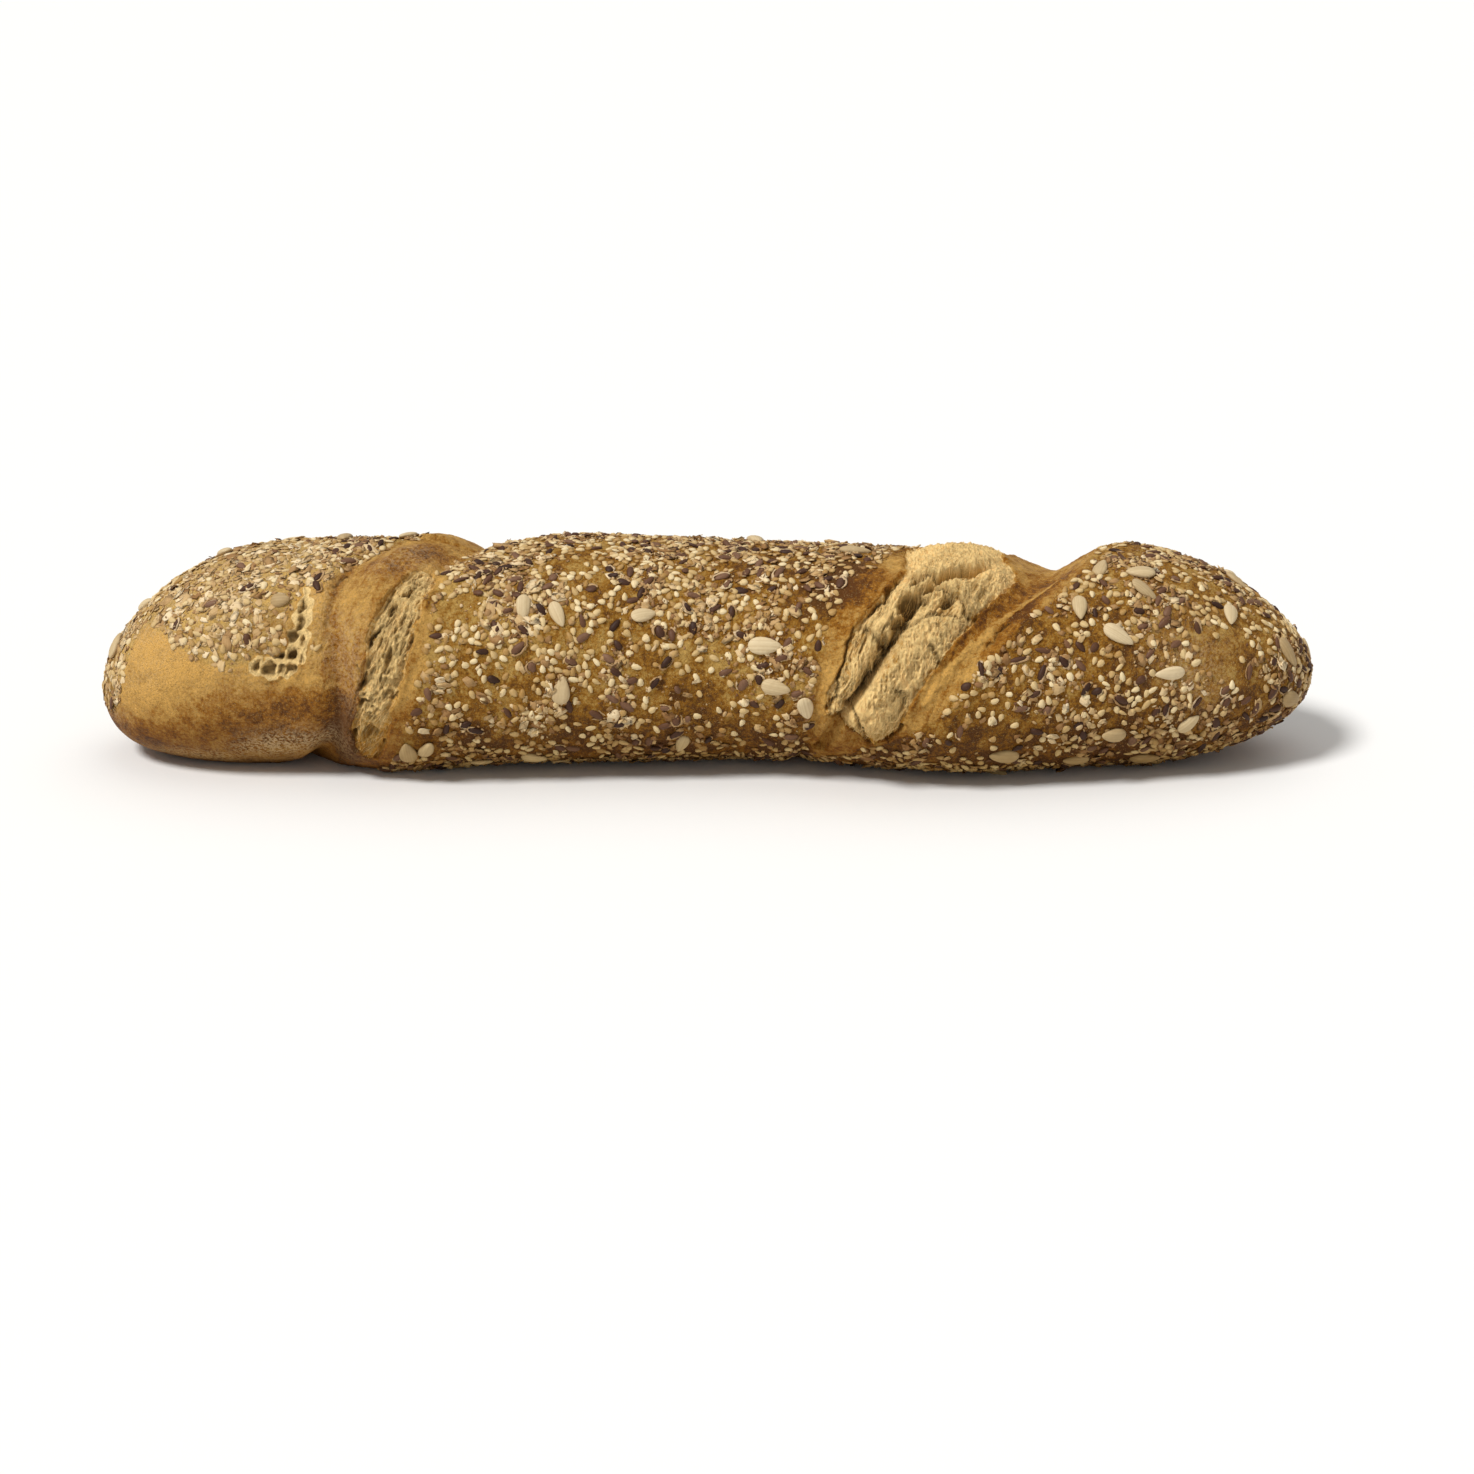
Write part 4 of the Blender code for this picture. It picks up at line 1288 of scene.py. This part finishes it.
class Nodes:
    """A material's node tree, with short ways to add and join nodes."""

    def __init__(self, name):
        self.material = bpy.data.materials.new(name)
        self.material.use_nodes = True
        self.tree = self.material.node_tree
        self.shader = self.tree.nodes["Principled BSDF"]
        self.place = self.add("ShaderNodeTexCoord").outputs["Object"]

    def add(self, kind, **settings):
        node = self.tree.nodes.new(kind)
        for name, value in settings.items():
            setattr(node, name, value)
        return node

    def put(self, socket, value):
        if isinstance(value, bpy.types.NodeSocket):
            self.tree.links.new(value, socket)
        else:
            socket.default_value = value

    def mark(self, name):
        return self.add("ShaderNodeAttribute", attribute_name=name).outputs["Fac"]

    def noise(self, scale, detail=3.0, roughness=0.55):
        node = self.add("ShaderNodeTexNoise")
        node.inputs["Scale"].default_value = scale
        node.inputs["Detail"].default_value = detail
        node.inputs["Roughness"].default_value = roughness
        self.put(node.inputs["Vector"], self.place)
        return node.outputs["Fac"]

    def math(self, operation, first, second=0.0, clamp=False):
        node = self.add("ShaderNodeMath", operation=operation, use_clamp=clamp)
        self.put(node.inputs[0], first)
        self.put(node.inputs[1], second)
        return node.outputs[0]

    def spread(self, noise, amount):
        """Noise moved to lie round 0 and made stronger."""
        return self.math("MULTIPLY", self.math("SUBTRACT", noise, 0.5), amount)

    def between(self, value, low, high):
        """0 below low, 1 above high and smooth between."""
        node = self.add("ShaderNodeMapRange", interpolation_type="SMOOTHSTEP")
        self.put(node.inputs["Value"], value)
        node.inputs["From Min"].default_value = low
        node.inputs["From Max"].default_value = high
        return node.outputs["Result"]

    def blend(self, share, first, second, how="MIX"):
        node = self.add("ShaderNodeMix", data_type="RGBA", blend_type=how)
        self.put(node.inputs[0], share)
        self.put(node.inputs[6], first)
        self.put(node.inputs[7], second)
        return node.outputs[2]

    def ramp(self, value, stops):
        node = self.add("ShaderNodeValToRGB")
        self.put(node.inputs["Fac"], value)
        elements = node.color_ramp.elements
        elements[0].position, elements[0].color = stops[0]
        elements[1].position, elements[1].color = stops[-1]
        for place, color in stops[1:-1]:
            elements.new(place).color = color
        return node.outputs["Color"]

    def bump(self, height, distance, strength=1.0):
        node = self.add("ShaderNodeBump")
        node.inputs["Distance"].default_value = distance
        node.inputs["Strength"].default_value = strength
        self.put(node.inputs["Height"], height)
        return node.outputs["Normal"]

    def low_bake_and_shade(self, color):
        """The same color, darkened and warmed towards the floor: partly browner crust at the bottom of the
        loaf, partly painted shade near the floor.
        """
        height = self.add("ShaderNodeSeparateXYZ")
        self.put(height.inputs[0], self.place)
        low = self.between(height.outputs["Z"], 0.030, 0.004)
        return self.blend(self.math("MULTIPLY", low, 0.75), color, (0.62, 0.50, 0.24, 1.0), "MULTIPLY")

    def finish(self, color, roughness, normal=None, specular=0.35):
        self.put(self.shader.inputs["Base Color"], color)
        self.put(self.shader.inputs["Roughness"], roughness)
        self.shader.inputs["Specular IOR Level"].default_value = specular
        if normal is not None:
            self.put(self.shader.inputs["Normal"], normal)
        return self.material


def opaque(color):
    return (color[0], color[1], color[2], 1.0)


def scaled(color, share):
    return (color[0] * share, color[1] * share, color[2] * share, 1.0)


def bread_material(settings):
    """Baked crust that turns to crumb where it tore, with flour left on it."""
    n = Nodes("crust_and_crumb")
    broad = n.spread(n.noise(190.0, 8.0, 0.74), 1.9)
    small = n.spread(n.noise(900.0, 4.0, 0.7), 1.25)
    # This mark holds the bake, and also painted shade on the low sides and in the first crease and a painted
    # highlight on the strip's ridge.
    bake_and_painted_light = n.math("ADD", n.mark("bake_and_painted_light"), n.math("ADD", broad, small))
    crust = n.ramp(
        bake_and_painted_light,
        [
            (0.0, scaled(settings.golden_crust, 1.35)),
            (0.34, opaque(settings.golden_crust)),
            (0.68, opaque(settings.brown_crust)),
            (1.0, opaque(settings.dark_crust)),
        ],
    )
    crust = n.blend(n.mark("coat"), crust, (0.93, 1.02, 1.10, 1.0), "MULTIPLY")
    speck = n.between(n.noise(2400.0, 1.0), 0.62, 0.70)
    crust = n.blend(n.math("MULTIPLY", speck, 0.34), crust, scaled(settings.pale_crumb, 0.95))
    pit = n.between(n.noise(1900.0, 2.0), 0.42, 0.32)
    crust = n.blend(n.math("MULTIPLY", pit, 0.3), crust, scaled(settings.dark_crust, 0.8))

    weave = n.spread(n.noise(1000.0, 4.0, 0.7), 2.0)
    crumb = n.ramp(
        n.math("ADD", n.mark("bake_and_painted_light"), weave),
        [
            (0.0, scaled(settings.pale_crumb, 1.12)),
            (0.35, scaled(settings.pale_crumb, 0.88)),
            (0.85, opaque(settings.toasted_crumb)),
        ],
    )
    color = n.blend(n.between(n.mark("crumb"), 0.35, 0.65), crust, crumb)
    # Painted shade: recesses of the crumb and skin are darkened towards the crumb shade colour.
    color = n.blend(n.math("MULTIPLY", n.mark("hollow"), 0.92), color, opaque(settings.crumb_recess_shade))
    powder = n.between(n.noise(1100.0, 4.0, 0.7), 0.40, 0.62)
    dust = n.math("MULTIPLY", n.mark("flour"), powder, clamp=True)
    color = n.blend(dust, color, opaque(settings.flour))
    # Darker towards the floor: partly browner bottom crust, partly painted shade.
    color = n.low_bake_and_shade(color)

    fine = n.noise(1600.0, 4.0, 0.65)
    normal = n.bump(n.math("ADD", fine, n.math("MULTIPLY", speck, 0.3)), 0.0009)
    roughness = n.math("ADD", 0.55, n.math("MULTIPLY", n.mark("crumb"), 0.35))
    return n.finish(color, roughness, normal, 0.10)


def seed_material(name, colors, grain, roughness, specular, distance):
    """A seed's coat, with its own shade for each seed and a fine grain."""
    n = Nodes(name)
    tint = n.math("ADD", n.mark("tint"), n.spread(n.noise(grain, 3.0), 0.35))
    places = np.linspace(0.0, 1.0, len(colors))
    color = n.ramp(tint, [(place, opaque(shade)) for place, shade in zip(places, colors)])
    streak = n.add("ShaderNodeTexNoise", noise_dimensions="1D")
    n.put(streak.inputs["W"], n.mark("across"))
    streak.inputs["Scale"].default_value = 9.0
    streak = n.between(streak.outputs["Fac"], 0.62, 0.35)
    color = n.blend(n.math("MULTIPLY", streak, 0.3), color, (0.62, 0.52, 0.42, 1.0), "MULTIPLY")
    # Seeds low on the loaf are darkened with painted shade near the floor.
    color = n.low_bake_and_shade(color)
    normal = n.bump(n.noise(grain * 2.0, 3.0), distance, 0.6)
    return n.finish(color, roughness, normal, specular)


def dress(mesh, shades, grain, roughness, specular, distance):
    """Makes the piece of a mesh of seeds, with a material of the same name."""
    mesh_object(mesh.name, mesh, seed_material(mesh.name, shades, grain, roughness, specular, distance))


def color_property(name, description, default):
    return bpy.props.FloatVectorProperty(
        name=name, description=description, subtype="COLOR", size=3, min=0.0, max=1.0, default=default
    )


def length_property(name, description, default):
    return bpy.props.FloatProperty(name=name, description=description, unit="LENGTH", default=default)


def count_property(name, description, default):
    return bpy.props.IntProperty(name=name, description=description, min=0, default=default)


class LoafCrust(bpy.types.PropertyGroup):
    """The colours of the baked skin and of the crumb."""

    golden_crust: color_property("Golden crust", "Crust where it baked least", (0.54, 0.300, 0.074))
    brown_crust: color_property("Brown crust", "Crust where it baked well", (0.34, 0.134, 0.012))
    dark_crust: color_property("Dark crust", "Crust where it baked most", (0.125, 0.043, 0.008))
    pale_crumb: color_property("Pale crumb", "Crumb inside the tears", (0.94, 0.66, 0.28))
    toasted_crumb: color_property("Toasted crumb", "Tips of the crumb that caught heat", (0.66, 0.33, 0.055))
    # The colour of the painted shade in cells, cracks, grooves and under flaps.
    crumb_recess_shade: color_property("Deep crumb", "The bottom of cells and cracks", (0.13, 0.075, 0.02))
    flour: color_property("Flour", "Flour left on the skin", (0.74, 0.55, 0.33))


class LoafSeeds(bpy.types.PropertyGroup):
    """How many seeds of each kind coat the loaf, and their size."""

    sesame_count: count_property("Sesame", "Number of sesame seeds", 3100)
    linseed_count: count_property("Linseed", "Number of linseeds", 600)
    kernel_count: count_property("Kernels", "Number of sunflower kernels", 62)
    flake_count: count_property("Flakes", "Number of grain flakes", 5600)
    chip_count: count_property("Chips", "Number of bran chips", 7500)
    fibre_count: count_property("Fibres", "Number of crumb fibres in the tears", 4200)
    sesame_length: length_property("Sesame length", "Length of a sesame seed", 0.0029)
    linseed_length: length_property("Linseed length", "Length of a linseed", 0.0045)
    kernel_length: length_property("Kernel length", "Length of a sunflower kernel", 0.0090)


class LOAF_OT_crust(bpy.types.Operator):
    """Bake the crust over the whole loaf, with finer skin over its bare bands"""

    bl_idname = "loaf.crust"
    bl_label = "Bake crust"

    def execute(self, context):
        material = bread_material(context.scene.loaf_crust)
        mesh_object("crust", crust_mesh(), material)
        for name in PATCHES:
            mesh_object(name, patch_mesh(name), material)
        return {"FINISHED"}


class LOAF_OT_fibres(bpy.types.Operator):
    """Stretch fibres of crumb over the tears"""

    bl_idname = "loaf.fibres"
    bl_label = "Stretch crumb fibres"

    def execute(self, context):
        material = fibre_material(context.scene.loaf_crust)
        mesh_object("crumb_fibres", fibre_mesh(context.scene.loaf_seeds.fibre_count), material)
        return {"FINISHED"}


def fibre_mesh(count):
    """Thin three-sided threads that arch over the crumb with both ends sunk in it."""
    rng = np.random.default_rng(5)
    starts = []
    for table, share, lean, length in FIBRE_BEDS:
        need = int(count * share)
        angle = rng.uniform(table[0][0], table[-1][0], need * 3)
        left, right = edges_at(table, angle)
        x = left + (right - left) * rng.random(need * 3)
        inside = inside_tear(table, x, angle) > 0.8
        x, angle = x[inside][:need], angle[inside][:need]
        long = length * rng.uniform(0.4, 1.3, len(x))
        way = math.pi / 2 - math.atan(lean) + rng.normal(0.0, 0.3, len(x))
        starts.append(np.stack([x, angle, long, way], axis=1))
    x, angle, long, way = np.concatenate(starts).T
    _, marks = surface(x, angle)
    # Fibres over recesses take on the painted shade beneath them, as well as the crumb's browning.
    tints = np.clip(0.8 * marks["bake_and_painted_light"] + 0.5 * marks["hollow"] + rng.uniform(-0.3, 0.2, len(x)), 0, 1)
    share = np.linspace(0.0, 1.0, FIBRE_RINGS)
    bend = rng.normal(0.0, 0.16, len(x))
    forward = long[:, None] * (share - 0.5)
    sideways = (bend * long)[:, None] * np.sin(share * math.pi)
    at_x = x[:, None] + forward * np.cos(way)[:, None] - sideways * np.sin(way)[:, None]
    at_run = forward * np.sin(way)[:, None] + sideways * np.cos(way)[:, None]
    at_angle = angle[:, None] + at_run / RUN
    points, turns = seats(at_x.ravel(), at_angle.ravel(), np.zeros(at_x.size), 0.0, rng)
    points = points.reshape(len(x), FIBRE_RINGS, 3)
    normals = turns[:, :, 2].reshape(len(x), FIBRE_RINGS, 3)
    lift = rng.uniform(0.1, 0.6, len(x))[:, None] * np.sin(share * math.pi) - 0.2
    smooth = points.mean(axis=1, keepdims=True)
    line = points[:, :1] + (points[:, -1:] - points[:, :1]) * share[None, :, None]
    points = 0.6 * points + 0.4 * (line + (smooth - line.mean(axis=1, keepdims=True)))
    points = points + normals * lift[:, :, None]
    way_on = np.gradient(points, axis=1)
    way_on /= np.linalg.norm(way_on, axis=2, keepdims=True)
    side = np.cross(normals, way_on)
    side /= np.linalg.norm(side, axis=2, keepdims=True)
    upper = np.cross(way_on, side)
    radius = rng.uniform(0.05, 0.12, len(x))[:, None] * (0.3 + 0.7 * np.sin(share * math.pi))
    corners = []
    for corner in range(3):
        turn = corner * math.tau / 3
        corners.append(points + radius[:, :, None] * (side * math.cos(turn) + upper * math.sin(turn)))
    rows = np.stack(corners, axis=2).reshape(-1, 3)
    faces = []
    for ring in range(FIBRE_RINGS - 1):
        for corner in range(3):
            here = ring * 3 + corner
            beside = ring * 3 + (corner + 1) % 3
            faces += [(here, beside, beside + 3), (here, beside + 3, here + 3)]
    last = (FIBRE_RINGS - 1) * 3
    faces += [(0, 2, 1), (last, last + 1, last + 2)]
    shape = np.array(faces)
    shift = np.arange(len(x)) * FIBRE_RINGS * 3
    faces = (shape[None] + shift[:, None, None]).reshape(-1, 3)
    mesh = mesh_of_rows("crumb_fibres", rows, faces)
    mesh.shade_smooth()
    mark(mesh, "tint", np.repeat(tints, FIBRE_RINGS * 3))
    return mesh


def fibre_material(settings):
    n = Nodes("crumb_fibres")
    color = n.ramp(
        n.mark("tint"),
        [
            (0.0, scaled(settings.pale_crumb, 1.1)),
            (0.4, scaled(settings.pale_crumb, 0.85)),
            (1.0, scaled(settings.toasted_crumb, 0.9)),
        ],
    )
    return n.finish(color, 0.8)


def counts(context):
    seeds = context.scene.loaf_seeds
    return seeds.kernel_count, seeds.linseed_count, seeds.sesame_count


class LOAF_OT_sesame(bpy.types.Operator):
    """Strew the sesame seeds"""

    bl_idname = "loaf.sesame"
    bl_label = "Strew sesame"

    def execute(self, context):
        rng = np.random.default_rng(21)
        x, angle = planted(*counts(context))[2]
        points, turns = seats(x, angle, rng.uniform(0, 360, len(x)), 0.16, rng)
        length = context.scene.loaf_seeds.sesame_length / MM
        sizes = uneven(rng, len(x), (length, length * 0.72, length * 0.34), 0.13)
        shapes = [seed_shape(6, 4, taper, 0.3, 0.1) for taper in (0.4, 0.65, 0.85)]
        mesh = copies("sesame", shapes, points, turns, sizes, rng.random(len(x)))
        mesh.shade_smooth()
        shades = [(0.40, 0.22, 0.06), (0.57, 0.39, 0.165), (0.70, 0.52, 0.26), (0.82, 0.67, 0.40)]
        dress(mesh, shades, 700.0, 0.55, 0.22, 0.0001)
        return {"FINISHED"}


class LOAF_OT_linseed(bpy.types.Operator):
    """Strew the linseeds, and leave a crinkled rim of dough round many of them"""

    bl_idname = "loaf.linseed"
    bl_label = "Strew linseed"

    def execute(self, context):
        rng = np.random.default_rng(22)
        x, angle = planted(*counts(context))[1]
        points, turns = seats(x, angle, rng.uniform(0, 360, len(x)), 0.2, rng)
        length = context.scene.loaf_seeds.linseed_length / MM
        sizes = uneven(rng, len(x), (length, length * 0.52, length * 0.3), 0.12)
        shapes = [seed_shape(7, 5, 0.5, 0.3, 0.1), seed_shape(7, 5, 0.3, 0.1, 0.05)]
        mesh = copies("linseed", shapes, points, turns, sizes, rng.random(len(x)))
        mesh.shade_smooth()
        shades = [(0.040, 0.016, 0.008), (0.075, 0.031, 0.015), (0.13, 0.058, 0.028), (0.21, 0.11, 0.06)]
        dress(mesh, shades, 900.0, 0.55, 0.2, 0.0001)

        rimmed = rng.random(len(x)) < 0.6
        rings = [husk_shape(rng, 7) for _ in range(9)]
        spread = sizes[rimmed] * (1.12, 1.3, 1.3)
        points = points[rimmed] + turns[rimmed][:, :, 2] * 0.05
        mesh = copies("linseed_rims", rings, points, turns[rimmed], spread, rng.random(len(points)))
        shades = [(0.36, 0.20, 0.08), (0.52, 0.34, 0.17), (0.66, 0.49, 0.30)]
        dress(mesh, shades, 900.0, 0.8, 0.2, 0.0002)
        return {"FINISHED"}


class LOAF_OT_kernels(bpy.types.Operator):
    """Press the sunflower kernels into the crust"""

    bl_idname = "loaf.kernels"
    bl_label = "Press sunflower kernels"

    def execute(self, context):
        rng = np.random.default_rng(23)
        x, angle, turn = planted(*counts(context))[0]
        points, turns = seats(x, angle, turn, 0.08, rng)
        length = context.scene.loaf_seeds.kernel_length / MM
        sizes = uneven(rng, len(x), (length, length * 0.53, length * 0.27), 0.1)
        shapes = [seed_shape(16, 12, 0.7, 0.75, 0.18), seed_shape(16, 12, 0.5, 0.6, 0.18)]
        mesh = copies("sunflower_kernels", shapes, points, turns, sizes, rng.random(len(x)))
        mesh.shade_smooth()
        shades = [(0.41, 0.28, 0.13), (0.60, 0.46, 0.26), (0.73, 0.59, 0.37)]
        dress(mesh, shades, 420.0, 0.55, 0.2, 0.0003)
        return {"FINISHED"}


class LOAF_OT_flakes(bpy.types.Operator):
    """Scatter the curled flakes of grain"""

    bl_idname = "loaf.flakes"
    bl_label = "Scatter grain flakes"

    def execute(self, context):
        rng = np.random.default_rng(24)
        x, angle = strewn(rng, Ground(3.0), context.scene.loaf_seeds.flake_count, 1.0, 1.0, flake_thickness)
        points, turns = seats(x, angle, rng.uniform(0, 360, len(x)), 0.11, rng)
        points = points + turns[:, :, 2] * (0.15 - 0.10 * on_left(x))[:, None]
        sizes = np.array((2.0, 1.45, 0.19)) * rng.lognormal(0.0, 0.3, (len(x), 1))
        sizes = sizes * (1 + on_left(x)[:, None] * (0.22, 0.22, -0.5))
        sizes = sizes * rng.uniform(0.75, 1.25, sizes.shape)
        shapes = [flake_shape(rng, 2, 2, 1.9, 0.15) for _ in range(12)]
        tints = rng.random(len(x)) ** (1.6 - 0.8 * on_left(x))
        mesh = copies("grain_flakes", shapes, points, turns, sizes, tints)
        shades = [(0.30, 0.15, 0.05), (0.50, 0.31, 0.13), (0.67, 0.47, 0.23), (0.86, 0.69, 0.44)]
        dress(mesh, shades, 800.0, 0.75, 0.25, 0.0002)
        return {"FINISHED"}


class LOAF_OT_chips(bpy.types.Operator):
    """Scatter the small chips of bran"""

    bl_idname = "loaf.chips"
    bl_label = "Scatter bran chips"

    def execute(self, context):
        rng = np.random.default_rng(25)
        x, angle = strewn(rng, Ground(2.0), context.scene.loaf_seeds.chip_count, 0.7, 0.7, chip_thickness)
        points, turns = seats(x, angle, rng.uniform(0, 360, len(x)), 0.4, rng)
        points = points + turns[:, :, 2] * 0.1
        sizes = np.array((1.1, 0.75, 0.45)) * rng.lognormal(0.0, 0.35, (len(x), 1))
        sizes = sizes * rng.uniform(0.7, 1.3, sizes.shape)
        shapes = [chip_shape(rng, 0.16) for _ in range(7)]
        mesh = copies("bran_chips", shapes, points, turns, sizes, rng.random(len(x)))
        shades = [(0.16, 0.07, 0.03), (0.34, 0.18, 0.07), (0.50, 0.32, 0.14), (0.66, 0.49, 0.28)]
        dress(mesh, shades, 900.0, 0.75, 0.25, 0.0002)
        return {"FINISHED"}


class LOAF_OT_stage(bpy.types.Operator):
    """Set the floor, the soft lights and the camera"""

    bl_idname = "loaf.stage"
    bl_label = "Set stage"

    def execute(self, context):
        scene = context.scene
        bm = bmesh.new()
        bmesh.ops.create_grid(bm, x_segments=1, y_segments=1, size=6.0)
        floor = bpy.data.objects.new("floor", mesh_of(bm, "floor"))
        scene.collection.objects.link(floor)
        n = Nodes("floor")
        floor.data.materials.append(n.finish((0.86, 0.85, 0.83, 1.0), 0.9, None, 0.1))

        world = bpy.data.worlds.new("soft_room")
        world.use_nodes = True
        background = world.node_tree.nodes["Background"]
        background.inputs["Color"].default_value = (1.0, 0.99, 0.97, 1.0)
        background.inputs["Strength"].default_value = 0.36
        scene.world = world
        for name, place, angle, strength in SUNS:
            light = bpy.data.lights.new(name, "SUN")
            light.angle = math.radians(angle)
            light.energy = strength
            lamp = bpy.data.objects.new(name, light)
            lamp.location = place
            lamp.rotation_euler = (-Vector(place)).to_track_quat("-Z", "Y").to_euler()
            scene.collection.objects.link(lamp)

        view = bpy.data.cameras.new("camera")
        view.sensor_width = 36.0
        view.lens = CAMERA_LENS
        camera = bpy.data.objects.new("camera", view)
        camera.location = CAMERA_PLACE
        camera.rotation_euler = (math.radians(90 - CAMERA_PITCH), 0.0, 0.0)
        scene.collection.objects.link(camera)
        scene.camera = camera
        scene.view_settings.view_transform = "Standard"
        return {"FINISHED"}


OPERATORS = (
    LOAF_OT_stage,
    LOAF_OT_crust,
    LOAF_OT_fibres,
    LOAF_OT_kernels,
    LOAF_OT_linseed,
    LOAF_OT_sesame,
    LOAF_OT_flakes,
    LOAF_OT_chips,
)


class LOAF_PT_panel(bpy.types.Panel):
    """The loaf's settings and its steps."""

    bl_label = "Rye loaf"
    bl_idname = "LOAF_PT_panel"
    bl_space_type = "VIEW_3D"
    bl_region_type = "UI"
    bl_category = "Loaf"

    def draw(self, context):
        for settings in (context.scene.loaf_crust, context.scene.loaf_seeds):
            for name in settings.bl_rna.properties.keys():
                if name not in ("rna_type", "name"):
                    self.layout.prop(settings, name)
        for operator in OPERATORS:
            self.layout.operator(operator.bl_idname)


CLASSES = (LoafCrust, LoafSeeds, *OPERATORS, LOAF_PT_panel)


def register():
    for item in CLASSES:
        bpy.utils.register_class(item)
    bpy.types.Scene.loaf_crust = bpy.props.PointerProperty(type=LoafCrust)
    bpy.types.Scene.loaf_seeds = bpy.props.PointerProperty(type=LoafSeeds)


def unregister():
    del bpy.types.Scene.loaf_crust
    del bpy.types.Scene.loaf_seeds
    for item in reversed(CLASSES):
        bpy.utils.unregister_class(item)


def main():
    register()
    bpy.ops.loaf.stage()
    bpy.ops.loaf.crust()
    bpy.ops.loaf.fibres()
    bpy.ops.loaf.kernels()
    bpy.ops.loaf.linseed()
    bpy.ops.loaf.sesame()
    bpy.ops.loaf.flakes()
    bpy.ops.loaf.chips()


if __name__ == "__main__":
    main()
